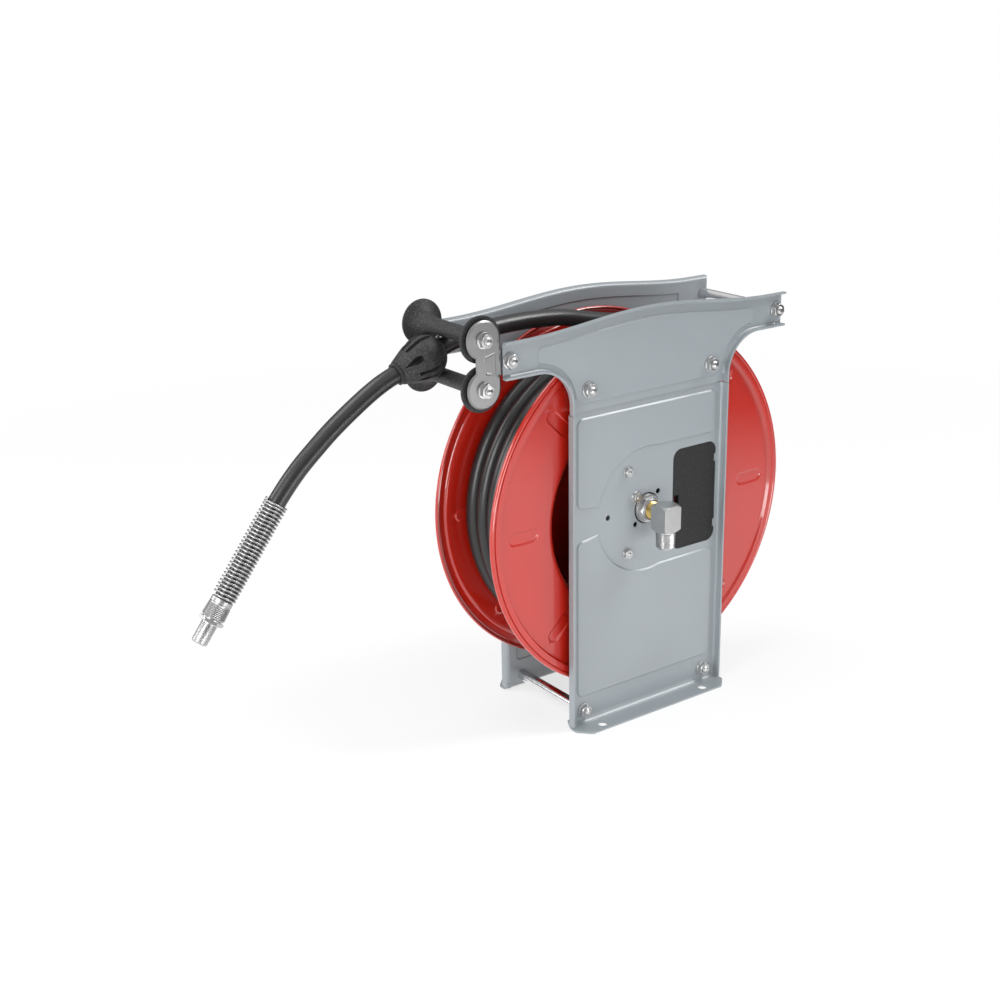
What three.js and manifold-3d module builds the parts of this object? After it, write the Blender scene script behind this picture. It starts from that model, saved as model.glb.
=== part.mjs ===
// A spring rewind hose reel: a painted sheet frame on two feet, a red drum on a fixed axle, a rubber hose
// that leaves between two rollers, and a square elbow at the inlet. Millimetres, +Z up, feet on z = 0.
// X runs along the axle with the inlet at +X, and the hose leaves towards -Y.
import * as THREE from "three";
import { mergeVertices } from "three/addons/utils/BufferGeometryUtils.js";
import Module from "manifold-3d";

const wasm = await Module();
wasm.setup();

// ---------------------------------------------------------------- driving dimensions
// sides of the drum, of turned pieces and of small bolts and holes
const DRUM_SIDES = 32;
const ROUND_SIDES = 16;
const CASE_SIDES = 24;
const WASHER_SIDES = 10;
const SMALL_SIDES = 8;

const FIT = 0.3; // running or mounting clearance between neighbours
const SHEET = 2; // frame sheet
const BEND = 4.5; // outer radius of a folded edge
const AXLE_Z = 226.3;

// column plates, and the arms that lie on their outer face
const COLUMN_INNER_X = 54.3;
const COLUMN_HALF = 105.3;
const COLUMN_TOP = 346.2;
const TONGUE_HALF = 96;
const TONGUE_TOP = 388;
const TONGUE_LAP = 5; // how far the tongue runs down into the channel
const FLANGE_X = 64.8; // free edge of every upright flange
const FOOT_X = 82.5;
const FOOT_CHAMFER = 13;
const FOOT_HOLE = 4.5;
const FOOT_HOLE_X = 72.5;
const FOOT_HOLE_Y = 72;
const ARM_HALF = 186;
const ARM_BOTTOM = 396.5;
const ARM_SEAM = COLUMN_TOP + 0.6;
const ARM_SWEEP = 41; // radius under each end of the arm
const ARM_END_TOP = 433;
const ARM_CROWN = 11.5;
const ARM_CROWN_HALF = 165;
const PANEL_RISE = 1.5;
const PANEL_CORNER = 8;
const PANEL_PARTING = 1; // how far the two column panels keep off the step between them
const LOWER_PANEL = { half: 94.5, bottom: 32, top: 212, step: 159.5 };
const UPPER_PANEL = { half: 94.5, bottom: 240.6, top: 340, step: 294 };
const HUB_LAND = 68; // flat round land about the axle, clear of the panels
const ARM_PANEL = { half: 143.5, bottom: 355.7, low: 93, below: 12.5, sweep: 49, corner: 5 };
const ARM_MOUTH = 9; // how deep the open ends and the open foot of the arm reach in

// latch window and hub holes in the inlet plate
const WINDOW = { front: 36, back: 97.5, bottom: 169, top: 282.5, corner: 11 };
const WINDOW_TAB = { depth: 2, tall: 8.5, heights: [188, 263] };
const NOTCH = { y: 42, z: 226, wide: 6.5, tall: 9.5 };
const HUB_HOLE = 17;
const SPARE_HOLE = 3;
const SPARE_HOLES = [[-52.9, 0], [-15.4, -15.4], [15.4, 15.4], [15.4, -15.4]];
const HUB_SCREW = [-15.4, 15.4];
const LATCH_BOLT = { y: -27, rise: 45.3 };

// fasteners
const STUD = 4; // radius of every threaded rod
const HOLE = STUD + FIT;
const SCREW = 3; // radius of the small screws
const SCREW_HOLE = SCREW + FIT;
const WASHER = { radius: 8, thick: 1.6 };
const NUT = { flats: 13, high: 5 };
const STUD_END = 9.6; // stud end above the sheet
const SMALL_HEAD = { flats: 10.4, high: 5 };
const FOOT_ROD = { y: 85, z: 15.8 };
const ARM_ROD = { y: ARM_HALF - 8.8, z: ARM_BOTTOM + 17.5 };
const ARM_BOLT = { y: 82.2, z: 369.6 };
const TIE_TUBE = 6.2;
const INNER_HEAD = 2.3; // low head on the inner face of the sheets
const ROLLER_COLLAR = 6.5;

// hose guide
const ROLLER = { y: -ARM_HALF - 19, z: ARM_ROD.z - 0.9, spread: 24.1, body: 8, flange: 23, half: 51 };
// the spool's flare at one end: [distance in from its end, what it stands out from the body]
const FLARE = [[21, 0], [12, 2.2], [6, 7]];
const ROLLER_LIP = 2.5;
const BRACKET = { end: 19, waist: ROLLER.y - 8.5, tabBack: 13.2 - ARM_ROD.y, tabHalf: 12 };

// drum
const DISC = { inner: 47.4, sheet: 1, radius: 197.5, mouth: 124 };
const RIM_STEP = 3; // how far the rim stands out from the flat of the disc
const RIM = { foot: 14.5, crest: 10.5, edge: 2.5, lip: 0.7 }; // how far in from the disc's edge
const BARREL = 117;
const SLOT = { at: 156, long: 31, wide: 11, deep: 0.9, count: 8 };

// axle and hub
const AXLE = { radius: 12, thread: 8, flange: 26, flangeX: 50, neck: 10, neckX: 62, bore: 5, boreX: 12 };
const FEED_X = 15; // where the water leaves the axle
const SWIVEL = { back: -2, front: 36, radius: 22, flange: 30, flangeThick: 4, groove: 15.5, grooveHalf: 9 };
const SEAL = { half: 1.5, gap: 0.2 };
const RATCHET = { thick: 6, root: 42, tip: 48, teeth: 12, tooth: 12 };
const SPACER = 18;
const END_NUT = { washer: 13.6, high: 7 };
const WEB = { x: -4, thick: 1.8 };
const CASE = { back: -44, radius: 102, wall: 1.6 };
const BUSH = { outer: 16, half: 3 };
const MAIN_SPRING = { turns: 3, eye: 14, outer: CASE.radius - 3, thick: 1.2, half: 15 };
const STRIP_STEPS = 12; // flats in one turn of the main spring
const CONNECTOR = 7; // radius of the pipe from the swivel to the hose

// latch
const PAWL = { y: -26, z: 56, boss: 6, back: 37, front: 41.5, tip: 50, top: 60, half: 3.5, tooth: 2.5 };
const PAWL_PIN = 2.5;
const LATCH_HOUSING = { back: 50.3, front: 54, y: [-66, 100], z: [-62, 74], corner: 14 };
const BOLT_BOSS = { radius: 7, deep: 4 };
const SPRING_POST = { half: 5, foot: 4, head: 10 }; // its two heights above the pawl's top
const LEAF = 0.8;

// inlet
const LOCK_RING = 15.5;
const AXLE_NUT = { back: 58.9, front: 66, flats: 24 };
const NIPPLE = { radius: 9.7, stub: 6 };
const ELBOW = { x: 86.5, half: 11, top: 12, bottom: -17.5, face: 11.35, thread: 10.48, tip: 9.8, bore: 6.3 };
const ELBOW_THREAD_LENGTH = 20;

// hose
const HOSE = 8.95; // radius
const WOUND_RADIUS = 156; // centre line of the outer layer
const WOUND_PITCH = 18.6;
const WOUND_STRANDS = 5;
const WOUND_STEPS = 24;
const CROSS_FROM = 268; // degrees: where a strand starts and ends its step to the next place
const CROSS_TO = 338;
const HOSE_SIDES = 10;
// the humps where the outer layer starts and ends, and how much narrower than the hose they are
const HUMP = { long: 9, ramp: 4, shy: 0.7 };
const HOSE_X = -14; // where the hose passes between the rollers
const STOP = {
  x: HOSE_X,
  y: ROLLER.y - 21.7,
  z: ROLLER.z - 2.2,
  radius: 22.5,
  collar: 11.3,
  reach: 35,
  cone: 8, // last part of the reach, with an even slope
  slope: 2.5,
  bore: HOSE + 1,
  dip: 19,
};
const GUARD = { wire: 1, radius: 11, curls: 28, closed: 2, length: 104, closedPitch: 2.7 };
const FERRULE = { radius: 11.8, length: 20 };
const END_HEX = { flats: 22, length: 4.6 };
const END_THREAD = { radius: 8.33, length: 21.5, bore: 4.5 };

// the free hose, as points chosen along it. Over the drum and down behind it:
const BEHIND_X = -36.8; // the last layer's place across the drum
const LEAD_FRONT = [
  [0, -2.2, 4.5],
  [-0.4, 10, 8.3],
  [-2.8, 37, 12.8],
  [-6.4, 73.7, 14.7],
  [-10.1, 115.9, 13.9],
  [-13.5, 156, 10.1],
].map(([x, y, z]) => [HOSE_X + x, ROLLER.y + y, ROLLER.z + z]);
const LEAD_REAR = [
  [-30.6, -15, 415.8],
  [-33.8, 22.8, 408],
  [-36, 66, 400.6],
  [BEHIND_X, 108, 381.4],
  [BEHIND_X, 144, 348.7],
  [BEHIND_X, 171.5, 303],
  [BEHIND_X, 184.6, 254],
  [BEHIND_X, 185, 200],
  [BEHIND_X, 168, 150],
  [BEHIND_X, 120, 95],
  [BEHIND_X, 60, 62.2],
  [BEHIND_X, 20, 52.9],
];
// from the stop to the guard, and the guard's own place
const TAIL_ROUTE = [
  [0, -55.2, -13.75],
  [0, -63.5, -16.8],
  [0, -76, -22.5],
  [0, -94.9, -33.4],
  [0, -125.6, -53.9],
  [0, -145.4, -69.5],
  [0, -166.5, -87.8],
  [0, -187, -110.1],
  [0, -209, -138.9],
].map(([x, y, z]) => [HOSE_X + x, ROLLER.y + y, ROLLER.z + z]);
const TAIL_END = [HOSE_X, ROLLER.y - 251.7, ROLLER.z - 195.3];
const TAIL_TURN = Math.atan2(-0.797, -0.6035); // the straight end's direction in the YZ plane

// ---------------------------------------------------------------- shape helpers
const RAD = Math.PI / 180;
const { cos, sin, PI } = Math;

function solid(geometry) {
  const bare = geometry.index ? geometry.toNonIndexed() : geometry.clone();
  bare.deleteAttribute("normal");
  bare.deleteAttribute("uv");
  const merged = mergeVertices(bare, 1e-4);
  const triVerts = new Uint32Array(merged.index.array);
  return new wasm.Manifold(
    new wasm.Mesh({ numProp: 3, vertProperties: merged.attributes.position.array, triVerts }),
  );
}

function geometryOf(body) {
  const mesh = body.getMesh();
  const geometry = new THREE.BufferGeometry();
  const points = new Float32Array(mesh.vertProperties);
  geometry.setAttribute("position", new THREE.BufferAttribute(points, 3));
  geometry.setIndex(new THREE.BufferAttribute(new Uint32Array(mesh.triVerts), 1));
  geometry.computeVertexNormals();
  return geometry;
}

function moved(body, x, y, z) {
  return solid(geometryOf(body).translate(x, y, z));
}

// The far side of the frame is the near one seen in a mirror across the middle of the drum.
function mirrored(body) {
  const geometry = geometryOf(body).scale(-1, 1, 1);
  const index = geometry.index.array;
  for (let i = 0; i < index.length; i += 3) {
    [index[i + 1], index[i + 2]] = [index[i + 2], index[i + 1]];
  }
  return solid(geometry);
}

function joined(bodies) {
  return bodies.reduce((whole, body) => whole.add(body));
}

function cut(body, tools) {
  return tools.reduce((left, tool) => left.subtract(tool), body);
}

// Points of an arc about (y, z), in degrees, both ends included.
function arc(y, z, radius, from, to, steps) {
  const points = [];
  for (let i = 0; i <= steps; i++) {
    const a = (from + ((to - from) * i) / steps) * RAD;
    points.push([y + radius * cos(a), z + radius * sin(a)]);
  }
  return points;
}

// A closed outline from corners [y, z, radius]; a corner with a radius becomes an arc.
function rounded(corners, steps = 3) {
  const points = [];
  corners.forEach(([y, z, radius = 0], i) => {
    if (!radius) {
      points.push([y, z]);
      return;
    }
    const here = new THREE.Vector2(y, z);
    const before = corners[(i + corners.length - 1) % corners.length];
    const after = corners[(i + 1) % corners.length];
    const back = new THREE.Vector2(before[0], before[1]).sub(here).normalize();
    const ahead = new THREE.Vector2(after[0], after[1]).sub(here).normalize();
    const half = Math.acos(THREE.MathUtils.clamp(back.dot(ahead), -1, 1)) / 2;
    const centre = back.clone().add(ahead).normalize().multiplyScalar(radius / sin(half)).add(here);
    const first = back.clone().multiplyScalar(radius / Math.tan(half)).add(here).sub(centre);
    const sweep = (PI - 2 * half) * Math.sign(back.cross(ahead)) * -1;
    for (let k = 0; k <= steps; k++) {
      const spun = first.clone().rotateAround(new THREE.Vector2(), (sweep * k) / steps);
      points.push([centre.x + spun.x, centre.y + spun.y]);
    }
  });
  return points;
}

// An anticlockwise outline moved inwards by a distance, corner by corner.
function inset(points, distance) {
  return points.map(([y, z], i) => {
    const [y0, z0] = points[(i + points.length - 1) % points.length];
    const [y1, z1] = points[(i + 1) % points.length];
    const a = new THREE.Vector2(y - y0, z - z0).normalize();
    const b = new THREE.Vector2(y1 - y, z1 - z).normalize();
    const normal = new THREE.Vector2(-a.y - b.y, a.x + b.x).normalize();
    const reach = distance / (normal.x * -a.y + normal.y * a.x);
    return [y + normal.x * reach, z + normal.y * reach];
  });
}

// A solid through outlines [x, points] of equal point counts, x rising, drawn in the YZ plane.
function stack(layers) {
  const count = layers[0][1].length;
  const position = layers.flatMap(([x, points]) => points.flatMap(([y, z]) => [x, y, z]));
  const index = [];
  for (let layer = 0; layer + 1 < layers.length; layer++) {
    for (let i = 0; i < count; i++) {
      const a = layer * count + i;
      const b = layer * count + ((i + 1) % count);
      index.push(a, b, b + count, a, b + count, a + count);
    }
  }
  const top = (layers.length - 1) * count;
  const cap = (points) => {
    const flat = points.map(([y, z]) => new THREE.Vector2(y, z));
    return THREE.ShapeUtils.triangulateShape(flat, []);
  };
  cap(layers[0][1]).forEach(([a, b, c]) => index.push(a, c, b));
  cap(layers[layers.length - 1][1]).forEach(([a, b, c]) => index.push(top + a, top + b, top + c));
  const geometry = new THREE.BufferGeometry();
  geometry.setAttribute("position", new THREE.Float32BufferAttribute(position, 3));
  geometry.setIndex(index);
  return solid(geometry);
}

function slab(points, x0, x1) {
  return stack([[x0, points], [x1, points]]);
}

// A slab whose edge at x0 is rounded, as a folded or rolled sheet is.
function rolled(points, x0, x1, radius, steps = 2) {
  const layers = [];
  for (let i = 0; i <= steps; i++) {
    const a = (i / steps) * 90 * RAD;
    layers.push([x0 + radius * (1 - cos(a)), inset(points, radius * (1 - sin(a)))]);
  }
  layers.push([x1, points]);
  return stack(layers);
}

function block(x0, x1, y0, y1, z0, z1) {
  return slab([[y0, z0], [y1, z0], [y1, z1], [y0, z1]], x0, x1);
}

// A turned piece about the X axis, from a closed profile [x, radius].
function turned(profile, sides = ROUND_SIDES) {
  const points = profile.map(([x, radius]) => new THREE.Vector2(radius, x));
  const area = THREE.ShapeUtils.area(points);
  if (area < 0) {
    points.reverse();
  }
  points.push(points[0].clone());
  const toX = new THREE.Matrix4().makeBasis(
    new THREE.Vector3(0, 1, 0),
    new THREE.Vector3(1, 0, 0),
    new THREE.Vector3(0, 0, -1),
  );
  return solid(new THREE.LatheGeometry(points, sides).applyMatrix4(toX));
}

function rod(x0, x1, radius, sides = SMALL_SIDES) {
  return turned([[x0, 0], [x1, 0], [x1, radius], [x0, radius]], sides);
}

function pipe(x0, x1, outer, inner, sides = ROUND_SIDES) {
  return turned([[x0, inner], [x1, inner], [x1, outer], [x0, outer]], sides);
}

function hexagon(x0, x1, flats) {
  return rod(x0, x1, flats / Math.sqrt(3), 6);
}

function hole(y, z, radius, x0 = -100, x1 = 100, sides = SMALL_SIDES) {
  return moved(rod(x0, x1, radius, sides), 0, y, z);
}

// A closed tube along points, each section square to the way on, with square ends. An upright tube keeps
// a corner of its section towards X all the way.
function tube(path, radius, sides, upright) {
  const position = [];
  const index = [];
  const normal = new THREE.Vector3();
  path.forEach((point, i) => {
    const before = path[Math.max(i - 1, 0)];
    const after = path[Math.min(i + 1, path.length - 1)];
    const inward = point.clone().sub(before).normalize();
    const onward = after.clone().sub(point).normalize();
    const along = inward.clone().add(onward).normalize();
    const mitre = 1 / Math.max(along.dot(i ? inward : onward), 0.5);
    if (!i || upright) {
      normal.set(1, 0, 0);
    }
    normal.addScaledVector(along, -normal.dot(along)).normalize();
    const side = along.clone().cross(normal);
    const bend = onward.clone().sub(inward);
    bend.addScaledVector(along, -bend.dot(along)).normalize();
    for (let k = 0; k < sides; k++) {
      const a = (2 * PI * k) / sides;
      const offset = normal.clone().multiplyScalar(radius * cos(a)).addScaledVector(side, radius * sin(a));
      offset.addScaledVector(bend, offset.dot(bend) * (mitre - 1));
      position.push(...point.clone().add(offset).toArray());
    }
  });
  for (let i = 0; i + 1 < path.length; i++) {
    for (let k = 0; k < sides; k++) {
      const a = i * sides + k;
      const b = i * sides + ((k + 1) % sides);
      index.push(a, b, b + sides, a, b + sides, a + sides);
    }
  }
  const last = (path.length - 1) * sides;
  for (let k = 1; k + 1 < sides; k++) {
    index.push(0, k + 1, k, last, last + k, last + k + 1);
  }
  const geometry = new THREE.BufferGeometry();
  geometry.setAttribute("position", new THREE.Float32BufferAttribute(position, 3));
  geometry.setIndex(index);
  return solid(geometry);
}

// The hose's free stretches: a round section carried along a smooth curve.
function hoseAlong(points, steps) {
  const stops = points.map((point) => new THREE.Vector3(...point));
  const curve = new THREE.CatmullRomCurve3(stops, false, "centripetal");
  const ring = arc(0, 0, HOSE, 0, 360 - 360 / HOSE_SIDES, HOSE_SIDES - 1);
  const section = new THREE.Shape(ring.map(([x, y]) => new THREE.Vector2(x, y)));
  return solid(new THREE.ExtrudeGeometry(section, { steps, extrudePath: curve, bevelEnabled: false }));
}

// ---------------------------------------------------------------- materials
function material(color, roughness, metalness) {
  return new THREE.MeshStandardMaterial({ color, roughness, metalness });
}

const PAINT = material(0xa2a9ad, 0.42, 0.1);
const RED = material(0xb8241a, 0.22, 0.1);
const ZINC = material(0xc4c6c8, 0.3, 0.9);
const STEEL = material(0x8f9294, 0.38, 0.9);
const STAINLESS = material(0x979797, 0.35, 0.9);
const BRASS = material(0xaa8c46, 0.35, 0.9);
const PLASTIC = material(0x3a3a3a, 0.75, 0);
const RUBBER = material(0x2e2f30, 0.5, 0);

// ---------------------------------------------------------------- scene graph
const reel = new THREE.Group();
const frame = new THREE.Group();
const drum = new THREE.Group();
drum.position.set(0, 0, AXLE_Z);
reel.add(frame, drum);

function add(group, name, body, look, x = 0, y = 0, z = 0) {
  const mesh = new THREE.Mesh(geometryOf(body), look);
  mesh.name = name;
  mesh.position.set(x, y, z);
  group.add(mesh);
}

// ---------------------------------------------------------------- frame sheets
const COLUMN_OUTER_X = COLUMN_INNER_X + SHEET;
const ARM_OUTER_X = COLUMN_OUTER_X + SHEET;

// A panel pressed outwards from a sheet: the raised face, and the hollow behind it.
function pressed(sheet, outline, innerX) {
  const face = innerX + SHEET + PANEL_RISE;
  const raised = stack([
    [innerX + SHEET / 2, outline],
    [innerX + SHEET, outline],
    [face, inset(outline, PANEL_RISE)],
  ]);
  const hollow = stack([
    [innerX - 1, inset(outline, SHEET - 1)],
    [innerX, inset(outline, SHEET)],
    [face - SHEET, inset(outline, SHEET + PANEL_RISE)],
  ]);
  return sheet.add(raised).subtract(hollow);
}

// The plain corner cut out of a panel by the round land about the axle.
function landEnd(height) {
  return Math.sqrt(HUB_LAND ** 2 - (height - AXLE_Z) ** 2);
}

function landAngle(height) {
  return Math.asin((height - AXLE_Z) / HUB_LAND) / RAD;
}

function lowerPanel() {
  const { half, bottom, top, step } = LOWER_PANEL;
  const start = landAngle(step + PANEL_PARTING);
  const end = -180 - landAngle(top);
  return [
    ...rounded([
      [-half, top, PANEL_CORNER],
      [-half, bottom, PANEL_CORNER],
      [half, bottom, PANEL_CORNER],
      [half, step, PANEL_CORNER],
    ]),
    ...arc(0, AXLE_Z, HUB_LAND, start, end, 7),
  ];
}

function upperPanel() {
  const { half, bottom, top, step } = UPPER_PANEL;
  const start = 180 - landAngle(bottom);
  const end = landAngle(step - PANEL_PARTING);
  return [
    ...rounded([
      [half, step, PANEL_CORNER],
      [half, top, PANEL_CORNER],
      [-half, top, PANEL_CORNER],
      [-half, bottom, PANEL_CORNER],
    ]),
    ...arc(0, AXLE_Z, HUB_LAND, start, end, 7),
  ];
}

function columnPlate(isInlet) {
  const channelOutline = (half, x0, radius) => {
    const corners = [[-half, x0, radius], [half, x0, radius], [half, FLANGE_X], [-half, FLANGE_X]];
    return rounded(corners);
  };
  // the channel is drawn across the column, then stood up
  const upright = new THREE.Matrix4().makeBasis(
    new THREE.Vector3(0, 0, 1),
    new THREE.Vector3(0, 1, 0),
    new THREE.Vector3(1, 0, 0),
  );
  const stood = (body) => {
    const geometry = geometryOf(body).applyMatrix4(upright);
    const index = geometry.index.array;
    for (let i = 0; i < index.length; i += 3) {
      [index[i + 1], index[i + 2]] = [index[i + 2], index[i + 1]];
    }
    return solid(geometry);
  };
  const outer = stood(slab(channelOutline(COLUMN_HALF, COLUMN_INNER_X, BEND), 0, COLUMN_TOP));
  const wide = COLUMN_HALF - SHEET;
  const trough = [
    [-wide, COLUMN_OUTER_X, BEND - SHEET],
    [wide, COLUMN_OUTER_X, BEND - SHEET],
    [wide, FLANGE_X + 1],
    [-wide, FLANGE_X + 1],
  ];
  const inner = stood(slab(rounded(trough), -1, COLUMN_TOP + 1));
  const chamfered = COLUMN_HALF - FOOT_CHAMFER;
  const foot = stood(slab([
    [-COLUMN_HALF, COLUMN_INNER_X],
    [COLUMN_HALF, COLUMN_INNER_X],
    [COLUMN_HALF, FOOT_X - FOOT_CHAMFER],
    [chamfered, FOOT_X],
    [-chamfered, FOOT_X],
    [-COLUMN_HALF, FOOT_X - FOOT_CHAMFER],
  ], 0, SHEET));
  const tongueFoot = COLUMN_TOP - TONGUE_LAP;
  const tongue = block(COLUMN_INNER_X, COLUMN_OUTER_X, -TONGUE_HALF, TONGUE_HALF, tongueFoot, TONGUE_TOP);
  let plate = joined([outer.subtract(inner), foot, tongue]);
  plate = pressed(plate, lowerPanel(), COLUMN_INNER_X);
  plate = pressed(plate, upperPanel(), COLUMN_INNER_X);
  const holes = [];
  for (const side of [-1, 1]) {
    holes.push(hole(side * FOOT_ROD.y, FOOT_ROD.z, HOLE));
    holes.push(hole(side * ARM_BOLT.y, ARM_BOLT.z, HOLE));
    const drilled = stood(moved(rod(-1, SHEET + 1, FOOT_HOLE), 0, side * FOOT_HOLE_Y, FOOT_HOLE_X));
    holes.push(drilled);
  }
  if (!isInlet) {
    holes.push(hole(0, AXLE_Z, AXLE.thread + FIT, -100, 100, ROUND_SIDES));
    return mirrored(cut(plate, holes));
  }
  holes.push(hole(0, AXLE_Z, HUB_HOLE, -100, 100, ROUND_SIDES));
  SPARE_HOLES.forEach(([y, rise]) => holes.push(hole(y, AXLE_Z + rise, SPARE_HOLE)));
  holes.push(hole(HUB_SCREW[0], AXLE_Z + HUB_SCREW[1], SCREW_HOLE));
  for (const side of [-1, 1]) {
    holes.push(hole(LATCH_BOLT.y, AXLE_Z + side * LATCH_BOLT.rise, SCREW_HOLE));
  }
  holes.push(slab(windowOutline(0), 0, 100));
  return cut(plate, holes);
}

// The latch window, with the two small tabs that stand into it from its rear edge.
function windowOutline(gap) {
  const { front, back, bottom, top, corner } = WINDOW;
  const tabs = WINDOW_TAB.heights.flatMap((height) => [
    [back - gap, height - WINDOW_TAB.tall / 2 - gap],
    [back - WINDOW_TAB.depth - gap, height - WINDOW_TAB.tall / 2 - gap],
    [back - WINDOW_TAB.depth - gap, height + WINDOW_TAB.tall / 2 + gap],
    [back - gap, height + WINDOW_TAB.tall / 2 + gap],
  ]);
  return rounded([
    [front + gap, bottom + gap, corner],
    [back - gap, bottom + gap, corner],
    ...tabs,
    [back - gap, top - gap, corner],
    [front + gap, top - gap, corner],
  ]);
}

function armTop(y) {
  const share = Math.min(Math.abs(y) / ARM_CROWN_HALF, 1);
  return ARM_END_TOP + ARM_CROWN * cos((share * PI) / 2) ** 2;
}

function armTopPoints(half, below, steps) {
  const points = [];
  for (let i = 0; i <= steps; i++) {
    const y = half - (2 * half * i) / steps;
    points.push([y, armTop(y) - below]);
  }
  return points;
}

// The arm's outline: a crowned top, and a quarter sweep under each end down to the column.
function armOutline() {
  const turn = COLUMN_HALF + ARM_SWEEP;
  const low = ARM_BOTTOM - ARM_SWEEP;
  return [
    [-COLUMN_HALF, ARM_SEAM],
    [COLUMN_HALF, ARM_SEAM],
    ...arc(turn, low, ARM_SWEEP, 180, 90, 5),
    [ARM_HALF, ARM_BOTTOM],
    ...armTopPoints(ARM_HALF, 0, 10),
    [-ARM_HALF, ARM_BOTTOM],
    ...arc(-turn, low, ARM_SWEEP, 90, 0, 5),
  ];
}

function armPanel() {
  const { half, bottom, low, below, sweep, corner } = ARM_PANEL;
  const turn = COLUMN_HALF + ARM_SWEEP;
  const centre = ARM_BOTTOM - ARM_SWEEP;
  const sideFrom = Math.acos((half - turn) / sweep) / RAD;
  const sideTo = 180 - Math.asin((bottom + corner - centre) / sweep) / RAD;
  return [
    [-low + corner, bottom],
    [low - corner, bottom],
    ...arc(turn, centre, sweep, sideTo, sideFrom, 5),
    ...armTopPoints(half, below, 8),
    ...arc(-turn, centre, sweep, 180 - sideFrom, 180 - sideTo, 5),
  ];
}

function armPlate() {
  const outline = armOutline();
  const edge = inset(outline, SHEET);
  const outer = rolled(outline, COLUMN_OUTER_X, FLANGE_X, BEND);
  const trough = rolled(edge, ARM_OUTER_X, FLANGE_X + 1, BEND - SHEET, 1);
  const tall = ARM_END_TOP - ARM_BOTTOM - 2 * SHEET;
  const low = ARM_BOTTOM + SHEET;
  const footHalf = COLUMN_HALF - SHEET;
  const openings = [
    trough,
    block(ARM_OUTER_X, FLANGE_X + 1, -ARM_HALF - 1, ARM_MOUTH - ARM_HALF, low, low + tall),
    block(ARM_OUTER_X, FLANGE_X + 1, ARM_HALF - ARM_MOUTH, ARM_HALF + 1, low, low + tall),
    block(ARM_OUTER_X, FLANGE_X + 1, -footHalf, footHalf, ARM_SEAM - 1, ARM_SEAM + ARM_MOUTH),
  ];
  let plate = cut(outer, openings);
  plate = pressed(plate, armPanel(), COLUMN_OUTER_X);
  for (const side of [-1, 1]) {
    plate = cut(plate, [hole(side * ARM_ROD.y, ARM_ROD.z, HOLE), hole(side * ARM_BOLT.y, ARM_BOLT.z, HOLE)]);
  }
  return plate;
}

const arm = armPlate();
add(frame, "inlet_column_plate", columnPlate(true), PAINT);
add(frame, "spring_column_plate", columnPlate(false), PAINT);
add(frame, "inlet_arm_plate", arm, PAINT);
add(frame, "spring_arm_plate", mirrored(arm), PAINT);

// ---------------------------------------------------------------- tie rods, bolts and nuts
// A nut with its washer, on a face at x = 0, for the stud of every rod.
function nut() {
  const plate = rod(0, WASHER.thick, WASHER.radius, WASHER_SIDES);
  const body = hexagon(WASHER.thick, WASHER.thick + NUT.high, NUT.flats);
  return plate.add(body).subtract(rod(-1, STUD_END, STUD + FIT / 2));
}

// The head at a rod's far end, seated on the mirrored sheet.
function farHead(sheetX) {
  const washer = rod(-sheetX - WASHER.thick, -sheetX, WASHER.radius, WASHER_SIDES);
  return washer.add(hexagon(-sheetX - WASHER.thick - NUT.high, -sheetX - WASHER.thick, NUT.flats));
}

function tieRod(shoulderX, sheetX) {
  const bar = rod(-sheetX - WASHER.thick, sheetX + STUD_END, STUD);
  return joined([bar, rod(-shoulderX, shoulderX, TIE_TUBE, WASHER_SIDES), farHead(sheetX)]);
}

// A bolt with its nut that joins two sheets: a low head inside, the nut on the face at faceX.
function sheetBolt(face) {
  const parts = [
    rod(COLUMN_INNER_X - INNER_HEAD, COLUMN_INNER_X, WASHER.radius),
    rod(COLUMN_INNER_X - 1, face + STUD_END, STUD),
    rod(face, face + WASHER.thick, WASHER.radius, WASHER_SIDES),
    hexagon(face + WASHER.thick, face + WASHER.thick + NUT.high, NUT.flats),
  ];
  return joined(parts);
}

const armBolt = sheetBolt(ARM_OUTER_X + PANEL_RISE);
const footRod = tieRod(COLUMN_INNER_X, COLUMN_OUTER_X);
for (const [side, end] of [[-1, "front"], [1, "rear"]]) {
  add(frame, `foot_tie_rod_${end}`, footRod, STEEL, 0, side * FOOT_ROD.y, FOOT_ROD.z);
  add(frame, `foot_rod_nut_${end}`, nut(), ZINC, COLUMN_OUTER_X, side * FOOT_ROD.y, FOOT_ROD.z);
  add(frame, `inlet_arm_bolt_${end}`, armBolt, ZINC, 0, side * ARM_BOLT.y, ARM_BOLT.z);
  add(frame, `spring_arm_bolt_${end}`, mirrored(armBolt), ZINC, 0, side * ARM_BOLT.y, ARM_BOLT.z);
}
const bracketBolt = sheetBolt(ARM_OUTER_X);
add(frame, "arm_tie_rod", tieRod(COLUMN_OUTER_X, ARM_OUTER_X), STEEL, 0, ARM_ROD.y, ARM_ROD.z);
add(frame, "arm_rod_nut", nut(), ZINC, ARM_OUTER_X, ARM_ROD.y, ARM_ROD.z);
add(frame, "inlet_bracket_bolt", bracketBolt, ZINC, 0, -ARM_ROD.y, ARM_ROD.z);
add(frame, "spring_bracket_bolt", mirrored(bracketBolt), ZINC, 0, -ARM_ROD.y, ARM_ROD.z);

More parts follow.
